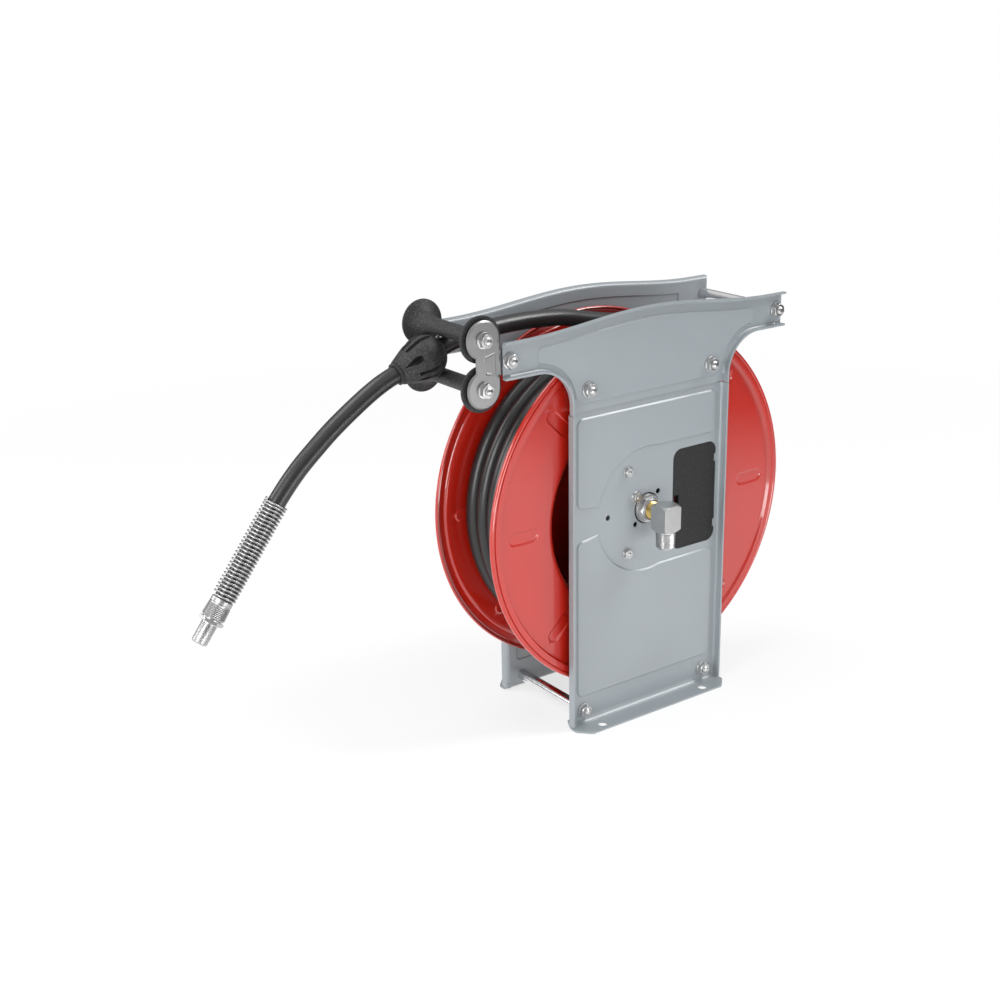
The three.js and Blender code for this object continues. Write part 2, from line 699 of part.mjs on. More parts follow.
// ---------------------------------------------------------------- hose guide
function bracket() {
  const { end, waist, tabBack, tabHalf } = BRACKET;
  const upper = ROLLER.z + ROLLER.spread;
  const lower = ROLLER.z - ROLLER.spread;
  const neck = Math.acos((waist - ROLLER.y) / end) / RAD;
  const outline = [
    ...arc(ROLLER.y, upper, end, 0, 360 - neck, 9),
    ...arc(ROLLER.y, lower, end, neck, 360, 9),
  ];
  const plate = rolled(outline, -COLUMN_OUTER_X, -COLUMN_INNER_X, 1, 1);
  const [tabFoot, tabTop] = [ROLLER.z - tabHalf, ROLLER.z + tabHalf];
  const tab = block(COLUMN_INNER_X, COLUMN_OUTER_X, ROLLER.y, tabBack, tabFoot, tabTop);
  const holes = [hole(-ARM_ROD.y, ARM_ROD.z, HOLE)];
  holes.push(hole(ROLLER.y, upper, HOLE), hole(ROLLER.y, lower, HOLE));
  return cut(mirrored(plate).add(tab), holes);
}

function rollerAxle() {
  const collar = rod(ROLLER.half + FIT, COLUMN_INNER_X, ROLLER_COLLAR);
  const bar = rod(-COLUMN_OUTER_X - WASHER.thick, COLUMN_OUTER_X + STUD_END, STUD);
  return joined([bar, collar, mirrored(collar), farHead(COLUMN_OUTER_X)]);
}

// A plastic spool whose ends flare out like a trumpet.
function roller() {
  const { body, flange, half } = ROLLER;
  const slope = FLARE.map(([back, rise]) => [half - back, body + rise]);
  const flare = [...slope, [half - ROLLER_LIP, flange], [half, flange]];
  const far = flare.map(([x, radius]) => [-x, radius]);
  const bore = STUD + FIT;
  return turned([[-half, bore], [half, bore], ...flare.reverse(), ...far]);
}

for (const [side, place] of [[1, "upper"], [-1, "lower"]]) {
  const height = ROLLER.z + side * ROLLER.spread;
  add(frame, `${place}_roller_axle`, rollerAxle(), ZINC, 0, ROLLER.y, height);
  add(frame, `${place}_roller_nut`, nut(), ZINC, COLUMN_OUTER_X, ROLLER.y, height);
  add(reel, `${place}_roller`, roller(), PLASTIC, 0, ROLLER.y, height);
}
add(frame, "inlet_roller_bracket", bracket(), STAINLESS);
add(frame, "spring_roller_bracket", mirrored(bracket()), STAINLESS);

// ---------------------------------------------------------------- axle and inlet
function axle() {
  const { radius, thread, flange, flangeX, neck, neckX, bore, boreX } = AXLE;
  const body = turned([
    [-COLUMN_OUTER_X - STUD_END, 0],
    [boreX, 0],
    [boreX, bore],
    [neckX, bore],
    [neckX, neck],
    [COLUMN_INNER_X, neck],
    [COLUMN_INNER_X, flange],
    [flangeX, flange],
    [flangeX, radius],
    [-COLUMN_INNER_X, radius],
    [-COLUMN_INNER_X, thread],
    [-COLUMN_OUTER_X - STUD_END, thread],
  ]);
  const feed = crossPort(bore - 2, radius + 1);
  return cut(body, [feed, hole(HUB_SCREW[0], HUB_SCREW[1], SCREW_HOLE, flangeX - 1, COLUMN_OUTER_X)]);
}

// A round bar that points down from the axle's middle line at the feed port.
function crossPort(from, to, radius = 3) {
  const geometry = new THREE.CylinderGeometry(radius, radius, to - from, SMALL_SIDES);
  return solid(geometry.translate(FEED_X, -(from + to) / 2, 0).rotateX(PI / 2));
}

function elbow() {
  const { x, half, top, bottom, face, thread, tip, bore } = ELBOW;
  const corner = half * Math.SQRT2 + 1;
  const drop = (corner - face) * Math.tan(30 * RAD);
  const spin = (profile) => {
    const points = profile.map(([radius, z]) => new THREE.Vector2(radius, z));
    return solid(new THREE.LatheGeometry(points, ROUND_SIDES).rotateX(PI / 2).translate(x, 0, 0));
  };
  const turnedBody = spin([
    [0, bottom],
    [face, bottom],
    [corner, bottom + drop],
    [corner, top - drop],
    [face, top],
    [0, top],
  ]);
  const square = block(x - half, x + half, -half, half, bottom, top);
  const end = bottom - ELBOW_THREAD_LENGTH;
  const stub = spin([[0, end], [tip, end], [thread, bottom - 2], [thread, bottom + 1], [0, bottom + 1]]);
  const down = spin([[0, end - 1], [bore, end - 1], [bore, bore], [0, bore]]);
  const across = rod(x - half - 1, x, bore, ROUND_SIDES);
  return cut(square.intersect(turnedBody).add(stub), [down, across]);
}

function nipple() {
  const { radius, stub } = NIPPLE;
  const faceX = ELBOW.x - ELBOW.half;
  const start = AXLE.neckX + FIT;
  const stubEnd = faceX + 5;
  return turned([
    [start, AXLE.bore],
    [stubEnd, AXLE.bore],
    [stubEnd, stub],
    [faceX, stub],
    [faceX, radius],
    [start, radius],
  ]);
}

function smallBolt(headX, tipX) {
  return rod(tipX, headX + 1, SCREW).add(hexagon(headX, headX + SMALL_HEAD.high, SMALL_HEAD.flats));
}

function axleEndNut() {
  const outside = -COLUMN_OUTER_X;
  const washer = rod(outside - WASHER.thick, outside, END_NUT.washer, ROUND_SIDES);
  const body = hexagon(outside - WASHER.thick - END_NUT.high, outside - WASHER.thick, AXLE_NUT.flats);
  return washer.add(body).subtract(rod(-100, 0, AXLE.thread + FIT / 2, ROUND_SIDES));
}

const neckBore = AXLE.neck + FIT;
const neckHole = rod(0, 100, neckBore, ROUND_SIDES);
const axleNut = hexagon(AXLE_NUT.back, AXLE_NUT.front, AXLE_NUT.flats).subtract(neckHole);
const lockRing = pipe(COLUMN_INNER_X + FIT, AXLE_NUT.back, LOCK_RING, neckBore);
const hubScrew = smallBolt(COLUMN_OUTER_X, AXLE.flangeX);
add(frame, "axle", axle(), STEEL, 0, 0, AXLE_Z);
add(frame, "axle_end_nut", axleEndNut(), ZINC, 0, 0, AXLE_Z);
add(frame, "axle_lock_ring", lockRing, ZINC, 0, 0, AXLE_Z);
add(frame, "axle_nut", axleNut, ZINC, 0, 0, AXLE_Z);
add(frame, "inlet_nipple", nipple(), BRASS, 0, 0, AXLE_Z);
add(frame, "inlet_elbow", elbow(), STEEL, 0, 0, AXLE_Z);
add(frame, "hub_screw", hubScrew, ZINC, 0, HUB_SCREW[0], AXLE_Z + HUB_SCREW[1]);
const spacer = pipe(SWIVEL.front + RATCHET.thick + FIT, AXLE.flangeX, SPACER, AXLE.radius + FIT);
add(frame, "axle_spacer", spacer, STEEL, 0, 0, AXLE_Z);

// ---------------------------------------------------------------- latch
// A black moulding behind the inlet plate: it fills the window, and carries the pawl on its inner side.
function latchHousing() {
  const { back, front, y, z, corner } = LATCH_HOUSING;
  const corners = [[y[0], z[0], corner], [y[1], z[0], corner], [y[1], z[1], corner], [y[0], z[1], corner]];
  const plate = slab(rounded(corners), back, front);
  const pad = moved(slab(windowOutline(FIT), back, COLUMN_OUTER_X - 0.6), 0, 0, -AXLE_Z);
  const pinBoss = moved(rod(PAWL.front + FIT, back + 1, PAWL.boss + 1.5), 0, PAWL.y, PAWL.z);
  const springPost = block(
    PAWL.back,
    back + 1,
    PAWL.y - SPRING_POST.half,
    PAWL.y + SPRING_POST.half,
    PAWL.top + SPRING_POST.foot,
    PAWL.top + SPRING_POST.head,
  );
  const boss = rod(back - BOLT_BOSS.deep, front, BOLT_BOSS.radius);
  const bosses = [-1, 1].map((side) => moved(boss, 0, LATCH_BOLT.y, side * LATCH_BOLT.rise));
  const { y: notchY, z: notchZ, wide, tall } = NOTCH;
  const low = notchZ - AXLE_Z - tall / 2;
  const tools = [
    rod(0, 100, AXLE.flange + FIT, ROUND_SIDES),
    block(0, 100, notchY - wide / 2, notchY + wide / 2, low, low + tall),
    hole(PAWL.y, PAWL.z, PAWL_PIN + FIT / 2, 0, back + 1.5),
    ...[-1, 1].map((side) => hole(LATCH_BOLT.y, side * LATCH_BOLT.rise, SCREW + FIT / 2, 0, 100)),
  ];
  return cut(joined([plate, pad, pinBoss, springPost, ...bosses]), tools);
}

function pawl() {
  const { boss, back, front, tip, top, half, y, z } = PAWL;
  const low = tip + PAWL.tooth;
  const arm = slab([[y, low], [-half, low], [half, low], [half, top], [y, top]], back, front);
  const tooth = block(back, front, -half, half, tip, top);
  const whole = joined([arm, tooth, moved(rod(back, front, boss), 0, y, z)]);
  return moved(whole.subtract(hole(y, z, PAWL_PIN + FIT)), 0, -y, -z);
}

function pawlPin() {
  const { back } = LATCH_HOUSING;
  return rod(PAWL.back - 2, back + 1, PAWL_PIN).add(rod(PAWL.back - 2, PAWL.back - FIT, PAWL_PIN + 2));
}

// A leaf that leans on the pawl's back from its post on the housing.
function pawlSpring() {
  const { back, front, top, y } = PAWL;
  const clear = top + SPRING_POST.foot - FIT;
  const bend = y + SPRING_POST.half + 1;
  const blade = [
    [y - SPRING_POST.half, clear - LEAF],
    [bend, clear - LEAF],
    [0, top + FIT],
    [2, top + FIT],
    [2, top + FIT + LEAF],
    [bend + 0.5, clear],
    [y - SPRING_POST.half, clear],
  ];
  return slab(blade, back, front);
}

add(frame, "latch_housing", latchHousing(), PLASTIC, 0, 0, AXLE_Z);
add(frame, "pawl_pin", pawlPin(), ZINC, 0, PAWL.y, AXLE_Z + PAWL.z);
add(frame, "pawl_spring", pawlSpring(), ZINC, 0, 0, AXLE_Z);
add(reel, "pawl", pawl(), STEEL, 0, PAWL.y, AXLE_Z + PAWL.z);
for (const [side, place] of [[1, "upper"], [-1, "lower"]]) {
  const height = AXLE_Z + side * LATCH_BOLT.rise;
  const bolt = smallBolt(COLUMN_OUTER_X, LATCH_HOUSING.back - BOLT_BOSS.deep);
  add(frame, `latch_bolt_${place}`, bolt, ZINC, 0, LATCH_BOLT.y, height);
}

// ---------------------------------------------------------------- drum
// The disc's section from the mouth, where it curls into the barrel, to the rolled rim.
function disc() {
  const { inner, sheet, radius, mouth } = DISC;
  const face = inner + sheet;
  const curl = mouth - BARREL + sheet;
  const neckX = face - curl;
  const bendOut = arc(neckX, mouth, curl, 0, -90, 2);
  const bendIn = arc(neckX, mouth, curl - sheet, -90, 0, 2);
  const stand = face + RIM_STEP;
  const rimOut = [
    [face, radius - RIM.foot],
    [stand, radius - RIM.crest],
    [stand, radius - RIM.edge],
    [face, radius],
    [inner - RIM.lip, radius],
  ];
  const rimIn = [
    [inner - RIM.lip, radius - sheet - 0.2],
    [face - 0.4, radius - sheet - 0.4],
    [stand - sheet, radius - RIM.edge - RIM.lip],
    [stand - sheet, radius - RIM.crest + 0.5],
    [inner, radius - RIM.foot + 0.5],
  ];
  const profile = [...bendOut.reverse(), ...rimOut, ...rimIn, ...bendIn.reverse()];
  let body = turned(profile, DRUM_SIDES);
  for (let i = 0; i < SLOT.count; i++) {
    const ring = (shrink) => {
      const half = SLOT.wide / 2 - shrink;
      const reach = (SLOT.long - SLOT.wide) / 2;
      const outer = arc(SLOT.at + reach, 0, half, -90, 90, 3);
      const points = [...outer, ...arc(SLOT.at - reach, 0, half, 90, 270, 3)];
      const a = (i / SLOT.count) * 2 * PI;
      return points.map(([y, z]) => [y * cos(a) - z * sin(a), y * sin(a) + z * cos(a)]);
    };
    const { deep } = SLOT;
    const boss = stack([[inner - deep, ring(deep)], [inner + 0.1, ring(0)]]);
    const recess = stack([[face - deep, ring(deep + 0.4)], [face, ring(0.4)], [face + 0.2, ring(0.4)]]);
    body = body.add(boss).subtract(recess);
  }
  return body;
}

function barrel() {
  const end = DISC.inner + DISC.sheet - (DISC.mouth - BARREL + DISC.sheet);
  const port = crossPort(BARREL - 4, BARREL + 2, CONNECTOR + FIT);
  return pipe(-end, end, BARREL, BARREL - DISC.sheet, DRUM_SIDES).subtract(port);
}

function springCase() {
  const { back, radius, wall } = CASE;
  return turned([
    [back, BUSH.outer + FIT],
    [back, radius],
    [WEB.x, radius],
    [WEB.x, radius - wall],
    [back + wall, radius - wall],
    [back + wall, BUSH.outer + FIT],
  ], CASE_SIDES);
}

// A flat strip coiled from an eye round the axle out to the wall of its case.
function mainSpring() {
  const { turns, eye, outer, thick, half } = MAIN_SPRING;
  const steps = turns * STRIP_STEPS;
  const grow = (outer - eye - thick) / turns;
  const side = (offset) => {
    const points = [];
    for (let i = 0; i <= steps; i++) {
      const a = (i / STRIP_STEPS) * 2 * PI;
      const radius = eye + offset + (grow * i) / STRIP_STEPS;
      points.push([radius * cos(a), radius * sin(a)]);
    }
    return points;
  };
  const middle = (CASE.back + CASE.wall + WEB.x) / 2;
  return slab([...side(thick), ...side(0).reverse()], middle - half, middle + half);
}

function hubWeb() {
  const { x, thick } = WEB;
  return pipe(x, x + thick, BARREL - DISC.sheet - FIT, AXLE.radius + 2, DRUM_SIDES);
}

function swivelBody() {
  const { back, front, radius, flange, flangeThick, groove, grooveHalf } = SWIVEL;
  const bore = AXLE.radius + FIT;
  const body = turned([
    [back, bore],
    [FEED_X - grooveHalf, bore],
    [FEED_X - grooveHalf, groove],
    [FEED_X + grooveHalf, groove],
    [FEED_X + grooveHalf, bore],
    [front, bore],
    [front, radius],
    [back + flangeThick, radius],
    [back + flangeThick, flange],
    [back, flange],
  ]);
  return body.subtract(crossPort(SWIVEL.groove - 2, SWIVEL.radius + 1, CONNECTOR - 3));
}

function ratchetRing() {
  const { thick, root, tip, teeth, tooth } = RATCHET;
  const outline = [];
  for (let i = 0; i < teeth; i++) {
    const middle = (360 / teeth) * (i + 0.5);
    outline.push(...arc(0, 0, tip, middle - tooth / 2, middle + tooth / 2, 1));
    const gapFrom = middle + tooth / 2;
    outline.push(...arc(0, 0, root, gapFrom, gapFrom + 360 / teeth - tooth, 1));
  }
  const bore = rod(0, 100, AXLE.radius + FIT, ROUND_SIDES);
  return slab(outline, SWIVEL.front, SWIVEL.front + thick).subtract(bore);
}

function hoseConnector() {
  const coreFlat = (BARREL + FIT) * cos(PI / DRUM_SIDES);
  const outer = crossPort(SWIVEL.radius + FIT, coreFlat - FIT, CONNECTOR);
  return outer.subtract(crossPort(SWIVEL.radius - 1, BARREL + 2, CONNECTOR - 3));
}

add(drum, "inlet_disc", disc(), RED);
add(drum, "spring_disc", mirrored(disc()), RED);
add(drum, "drum_barrel", barrel(), RED);
add(drum, "hub_web", hubWeb(), RED);
add(drum, "spring_case", springCase(), STEEL);
add(drum, "main_spring", mainSpring(), STEEL);
add(drum, "swivel_body", swivelBody(), BRASS);
add(drum, "ratchet_ring", ratchetRing(), STEEL);
add(drum, "hose_connector", hoseConnector(), BRASS);
const bushBack = CASE.back - 1;
const bush = pipe(bushBack, bushBack + 2 * BUSH.half, BUSH.outer, AXLE.radius + FIT);
add(drum, "case_bush", bush, BRASS);
for (const [side, place] of [[-1, "inner"], [1, "outer"]]) {
  const middle = FEED_X + side * (SWIVEL.grooveHalf - SEAL.half - SEAL.gap);
  const ring = pipe(middle - SEAL.half, middle + SEAL.half, SWIVEL.groove - SEAL.gap, AXLE.radius + FIT);
  add(drum, `swivel_seal_${place}`, ring, RUBBER);
}

// ---------------------------------------------------------------- wound hose
// The angle round the drum runs from the rear, under the barrel to the front, and over the top.
function onDrum(x, radius, degrees) {
  return new THREE.Vector3(x, radius * cos(degrees * RAD), -radius * sin(degrees * RAD));
}

// Each end leaves its loop one diameter early and runs straight to the hump that it comes out of.
const END_RUN = (2 * HOSE) / WOUND_RADIUS / RAD;
const WOUND_START = CROSS_TO + END_RUN;
const WOUND_END = CROSS_FROM - END_RUN + WOUND_STRANDS * 360;

// Along X, a strand keeps its place for most of a turn, then steps over to the next one.
function strandPlace(degrees) {
  const turn = Math.floor((degrees - CROSS_TO) / 360);
  const within = degrees - CROSS_TO - turn * 360;
  const crossing = (within - (360 - (CROSS_TO - CROSS_FROM))) / (CROSS_TO - CROSS_FROM);
  const share = THREE.MathUtils.smoothstep(crossing, 0, 1);
  return (turn + share - (WOUND_STRANDS - 1) / 2) * WOUND_PITCH;
}

function woundPath() {
  const path = [];
  const steps = Math.round(((WOUND_END - WOUND_START) / 360) * WOUND_STEPS);
  for (let i = 0; i <= steps; i++) {
    const degrees = WOUND_START + ((WOUND_END - WOUND_START) * i) / steps;
    path.push(onDrum(strandPlace(degrees), WOUND_RADIUS, degrees));
  }
  const { start, end } = woundTangents();
  path.unshift(path[0].clone().addScaledVector(start, 2 * HOSE));
  path.push(path[steps + 1].clone().addScaledVector(end, 2 * HOSE));
  return path;
}

// The way out of the tube at its first and its last turning point.
function woundTangents() {
  const start = onDrum(0, 1, WOUND_START - 90);
  const end = onDrum(0, 1, WOUND_END + 90);
  return { start, end };
}

// The least clear distance between stretches of a tube that lie at least skip steps apart.
const FINE = 10;
function leastGap(path, radius, skip) {
  let least = Infinity;
  const fine = [];
  path.slice(1).forEach((point, i) => {
    for (let k = 0; k < FINE; k++) {
      fine.push(path[i].clone().lerp(point, k / FINE));
    }
  });
  fine.forEach((point, i) => {
    for (let j = i + FINE * skip; j < fine.length; j++) {
      least = Math.min(least, point.distanceTo(fine[j]));
    }
  });
  return least - 2 * radius;
}

const wound = woundPath();
console.log("least gap of the winding to itself, mm:", leastGap(wound, HOSE, WOUND_STEPS / 2).toFixed(2));

// The layers below, as one plain ring, with the humps where the hose climbs to the outer layer.
function hoseCore() {
  const sag = WOUND_RADIUS * (1 - cos(PI / WOUND_STEPS));
  const top = WOUND_RADIUS - sag - HOSE * cos(30 * RAD) - FIT;
  const width = DISC.inner - SLOT.deep - FIT;
  const base = BARREL + FIT;
  const mouth = DISC.mouth + 1;
  const edge = DISC.inner + DISC.sheet - (DISC.mouth - BARREL + DISC.sheet);
  const ring = turned([
    [-edge, base],
    [edge, base],
    [width, mouth],
    [width, top],
    [-width, top],
    [-width, mouth],
  ], DRUM_SIDES);
  const reach = 2 * HOSE + FIT;
  const hump = (x, degrees, side) => {
    const low = top - HOSE;
    const high = WOUND_RADIUS + HOSE * cos(30 * RAD);
    const outline = [[reach, low], [reach + HUMP.long, low], [reach + HUMP.ramp, high], [reach, high]];
    const body = slab(outline, x - HOSE + HUMP.shy, x + HOSE - HUMP.shy);
    const geometry = geometryOf(body);
    if (side < 0) {
      geometry.rotateZ(PI).translate(2 * x, 0, 0);
    }
    return solid(geometry.rotateX(-(degrees + 90) * RAD));
  };
  const outermost = ((WOUND_STRANDS - 1) / 2) * WOUND_PITCH;
  return joined([ring, hump(-outermost, WOUND_START, -1), hump(outermost, WOUND_END, 1)]);
}

add(drum, "hose_core", hoseCore(), RUBBER);
add(drum, "hose_winding", tube(wound, HOSE, 6, true), RUBBER);

// ---------------------------------------------------------------- free hose and what is on it
function atStop(body) {
  const geometry = geometryOf(body).rotateZ(-PI / 2).rotateX(STOP.dip * RAD);
  return solid(geometry.translate(STOP.x, STOP.y, STOP.z));
}

// The stop: a ball with a cone and a collar to the front, split down its length.
function stopHalf(side) {
  const { radius, collar, reach, cone, slope, bore } = STOP;
  const back = Math.sqrt(radius ** 2 - bore ** 2);
  const ball = arc(0, 0, radius, 180 - Math.asin(bore / radius) / RAD, 50, 8);
  const profile = [[-back, 0], ...ball, [reach - cone, collar + slope], [reach, collar], [reach, 0]];
  const whole = turned(profile);
  const keep = side < 0 ? block(-50, 50, -50, -FIT / 2, -50, 50) : block(-50, 50, FIT / 2, 50, -50, 50);
  return atStop(whole.intersect(keep));
}

function onTail(body) {
  return solid(geometryOf(body).rotateZ(PI / 2).rotateX(TAIL_TURN).translate(...TAIL_END));
}

// The guard: curls at an even pitch, with closer curls at the hose end and a straight end at the ferrule.
function guardPath() {
  const { radius, curls, closed, length, closedPitch } = GUARD;
  const pitch = (length - 3 - closed * closedPitch) / (curls - closed);
  const path = [];
  const steps = 8;
  for (let i = 0; i <= curls * steps; i++) {
    const done = i / steps;
    const x = -length + 2 + Math.min(done, closed) * closedPitch + Math.max(done - closed, 0) * pitch;
    path.push(new THREE.Vector3(x, radius * cos(2 * PI * done), radius * sin(2 * PI * done)));
  }
  const last = path[path.length - 1];
  path.push(new THREE.Vector3(-FIT, last.y, last.z));
  return path;
}

function ferrule() {
  const { radius, length } = FERRULE;
  return turned([
    [0, 0],
    [length, 0],
    [length, radius - 1.5],
    [length - 1, radius],
    [1, radius],
    [0, radius - 1],
  ]);
}

function endFitting() {
  const start = FERRULE.length + FIT;
  const hexEnd = start + END_HEX.length;
  const end = hexEnd + END_THREAD.length;
  const { radius } = END_THREAD;
  const thread = turned([
    [hexEnd - 1, 0],
    [end, 0],
    [end, radius - 1],
    [end - 1, radius],
    [hexEnd - 1, radius],
  ]);
  return hexagon(start, hexEnd, END_HEX.flats).add(thread).subtract(rod(start + 2, end + 1, END_THREAD.bore));
}

const guard = guardPath();
console.log("least gap of the spring guard to itself, mm:", leastGap(guard, GUARD.wire, 5).toFixed(2));
const tailWay = [0, cos(TAIL_TURN), sin(TAIL_TURN)];
const tailRoute = [...TAIL_ROUTE, TAIL_END.map((value, i) => value - FIT * tailWay[i])];
add(reel, "hose_lead", hoseAlong([...LEAD_FRONT, ...LEAD_REAR], 14), RUBBER);
add(reel, "hose_stop_left", stopHalf(-1), PLASTIC);
add(reel, "hose_stop_right", stopHalf(1), PLASTIC);
add(reel, "hose_tail", hoseAlong(tailRoute, 8), RUBBER);
add(reel, "spring_guard", onTail(tube(guard, GUARD.wire, 5, false)), ZINC);
add(reel, "hose_ferrule", onTail(ferrule()), ZINC);
add(reel, "hose_end_fitting", onTail(endFitting()), STEEL);

// The origin lies under the middle of the reel's own box, hose and what is on it left out.
const boxMiddleX = (ELBOW.x + ELBOW.half - FOOT_X) / 2;
const boxMiddleY = (DISC.radius + ROLLER.y - ROLLER.flange) / 2;
reel.position.set(-boxMiddleX, -boxMiddleY, 0);

export default reel;
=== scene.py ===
"""Looks of a spring rewind hose reel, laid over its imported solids.

Lengths are in millimetres in the maker's frame, with the axle at y 0 and the feet on z 0.
Each finished piece is put into the row frame, in metres.
"""

import math
from functools import partialmethod

import bmesh
import bpy
from bpy.props import FloatProperty, FloatVectorProperty, IntProperty, PointerProperty
from mathutils import Matrix, Vector


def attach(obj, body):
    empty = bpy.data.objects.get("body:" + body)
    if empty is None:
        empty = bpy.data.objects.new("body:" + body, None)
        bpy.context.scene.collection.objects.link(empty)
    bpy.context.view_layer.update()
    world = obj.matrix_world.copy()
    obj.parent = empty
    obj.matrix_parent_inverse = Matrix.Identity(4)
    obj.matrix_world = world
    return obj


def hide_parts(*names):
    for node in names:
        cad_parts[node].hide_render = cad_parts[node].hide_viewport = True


bl_info = {
    "name": "Spring Rewind Hose Reel",
    "version": (1, 0, 0),
    "blender": (4, 5, 0),
    "location": "View3D > Sidebar > Hose Reel",
    "description": "Builds the visible pieces and finishes of a hose reel over its packed solids",
    "category": "Add Mesh",
}

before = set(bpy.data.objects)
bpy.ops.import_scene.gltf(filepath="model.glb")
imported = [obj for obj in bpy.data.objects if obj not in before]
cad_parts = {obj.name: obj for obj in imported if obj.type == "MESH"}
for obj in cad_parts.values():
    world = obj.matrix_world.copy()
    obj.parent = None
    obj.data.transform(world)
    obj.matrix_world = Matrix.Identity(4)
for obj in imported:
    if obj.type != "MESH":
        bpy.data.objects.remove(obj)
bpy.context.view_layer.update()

# ---------------------------------------------------------------- sizes shared by several pieces
TO_ROW = Matrix.Translation((-0.0075, 0.01525, 0)) @ Matrix.Scale(0.001, 4)
FIT = 0.3
SHEET = 2
BEND = 4.5
AXLE_Z = 226.3
INNER_X = 54.3  # inner face of the column plates
OUTER_X = INNER_X + SHEET
ARM_X = OUTER_X + SHEET
FLANGE_X = 64.8
COLUMN_HALF = 105.3
COLUMN_TOP = 346.2
ARM_HALF = 186
ARM_BOTTOM = 396.5
ARM_END_TOP = 433
RISE = 1.5  # height of the pressed panels
FOOT_X = 82.5
FOOT_ROD = (85, 15.8)
ARM_ROD = (177.2, 414)
ARM_BOLT = (82.2, 369.6)
ROLLERS = {"upper": 437.2, "lower": 389.0}
ROLLER_Y = -205
STUD = 4
WINDOW = {
    "front": 36,
    "back": 97.5,
    "bottom": 169,
    "top": 282.5,
    "corner": 11,
    "tab_half": 4.25,
    "tabs": (188, 263),
}
LATCH_BOLT = (-27, 45.3)
HUB_LAND = 68  # radius of the flat land about the hub
HUB_SCREW = (-15.4, 15.4)
HUB_TAPS = [(-15.4, -15.4), (15.4, 15.4), (15.4, -15.4)]
SCREW_HOLE = 3.3
FOOT_HOLE = {"x": 72.5, "y": 72, "radius": 5.2}
DISC_INNER = 47.4
# a disc's slot: half its straight length, half its width, and the width of its sloping wall
DISC_SLOT = {"reach": 10.8, "half": 6.6, "slope": 1.1}
BARREL = 117
HOSE = 8.95
WOUND = 156
WOUND_PITCH = 18.6
WOUND_STRANDS = 5
LOWER_WOUND = 137.3
CROSS_FROM = 268
CROSS_TO = 338
BALL = {"place": (-14, -226.7, 410.9), "radius": 22.5, "collar": 11.3, "reach": 35, "dip": 19, "turn": 28}
GUARD = {"wire": 1, "radius": 11, "curls": 28, "length": 104, "closed": 2, "closed_pitch": 2.7}
FERRULE = {"radius": 11.8, "length": 20}
END_THREAD = {"radius": 8.33, "length": 21.5, "bore": 4.5}
END_HEX = {"flats": 22, "length": 4.6}
TAIL_END = (-14, -456.7, 217.8)
TAIL_TURN = math.atan2(-0.797, -0.6035)

# the free hose from where it leaves the drum, over the top to the ball, and on to the end fitting
LEAD_ROUTE = [
    (-36.8, 20, 52.9),
    (-36.8, 60, 62.2),
    (-36.8, 120, 95),
    (-36.8, 168, 150),
    (-36.8, 185, 200),
    (-36.8, 184.6, 254),
    (-36.8, 171.5, 303),
    (-36.8, 144, 348.7),
    (-36.8, 108, 381.4),
    (-36, 66, 400.6),
    (-33.8, 22.8, 408),
    (-30.6, -15, 415.8),
    (-27.5, -49, 423.2),
    (-24.1, -89.1, 427),
    (-20.4, -131.3, 427.8),
    (-16.8, -168, 425.9),
    (-14.4, -195, 421.4),
    (-14, -207.2, 417.6),
]
TAIL_ROUTE = [
    (-14, -260.2, 399.35),
    (-14, -268.5, 396.3),
    (-14, -281, 390.6),
    (-14, -299.9, 379.7),
    (-14, -330.6, 359.2),
    (-14, -350.4, 343.6),
    (-14, -371.5, 325.3),
    (-14, -392, 303),
    (-14, -414, 274.2),
    (-14, -456.5, 218.1),
]

# the camera that was fitted to the photograph: its place in millimetres, degrees, lens and sensor
CAMERA = {
    "place": (1200.6, -1003.2, 765.6),
    "yaw": 54.59,
    "pitch": 19.22,
    "roll": -1.04,
    "lens": 54.886,
    "sensor": 36,
    "clip": (0.05, 60),
}
FLOOR_SIDE = 28  # in metres
LAMP_AIM = (0, 0, 0.23)  # in metres, about the axle


# ---------------------------------------------------------------- settings
def colour(name, description, value):
    return FloatVectorProperty(
        name=name, description=description, default=value, size=3, min=0, max=1, subtype="COLOR"
    )


def number(kind, name, description, value, low, high):
    return kind(name=name, description=description, default=value, min=low, max=high)


class ReelColours(bpy.types.PropertyGroup):
    """Base colours of the finishes, in linear light"""

    paint: colour("Frame Paint", "Satin paint of the frame sheets", (0.27, 0.3, 0.32))
    drum: colour("Drum Paint", "Gloss paint of the drum", (0.47, 0.012, 0.004))
    zinc: colour("Zinc", "Plated nuts, bolts and washers", (0.6, 0.6, 0.6))
    chrome: colour("Bright Rod", "Bright drawn tie rods", (0.8, 0.8, 0.81))
    steel: colour("Steel", "Turned steel at the inlet and the hose end", (0.6, 0.6, 0.6))
    stainless: colour("Stainless", "Brushed roller brackets", (0.3, 0.3, 0.3))
    brass: colour("Brass", "Threaded inlet pipe", (0.62, 0.46, 0.17))
    # near-black axle steel; its darkness also paints the shade inside the hub's spare holes, where the axle's
    # flange lies behind them
    oxide_and_hole_shade: colour("Black Oxide", "Blackened steel of the fixed axle", (0.03, 0.03, 0.03))
    plastic: colour("Plastic", "Rollers, hose stop and latch housing", (0.022, 0.022, 0.023))
    rubber: colour("Rubber", "Hose cover", (0.013, 0.013, 0.0135))
    floor: colour("Floor", "Pale studio floor", (0.9, 0.9, 0.9))


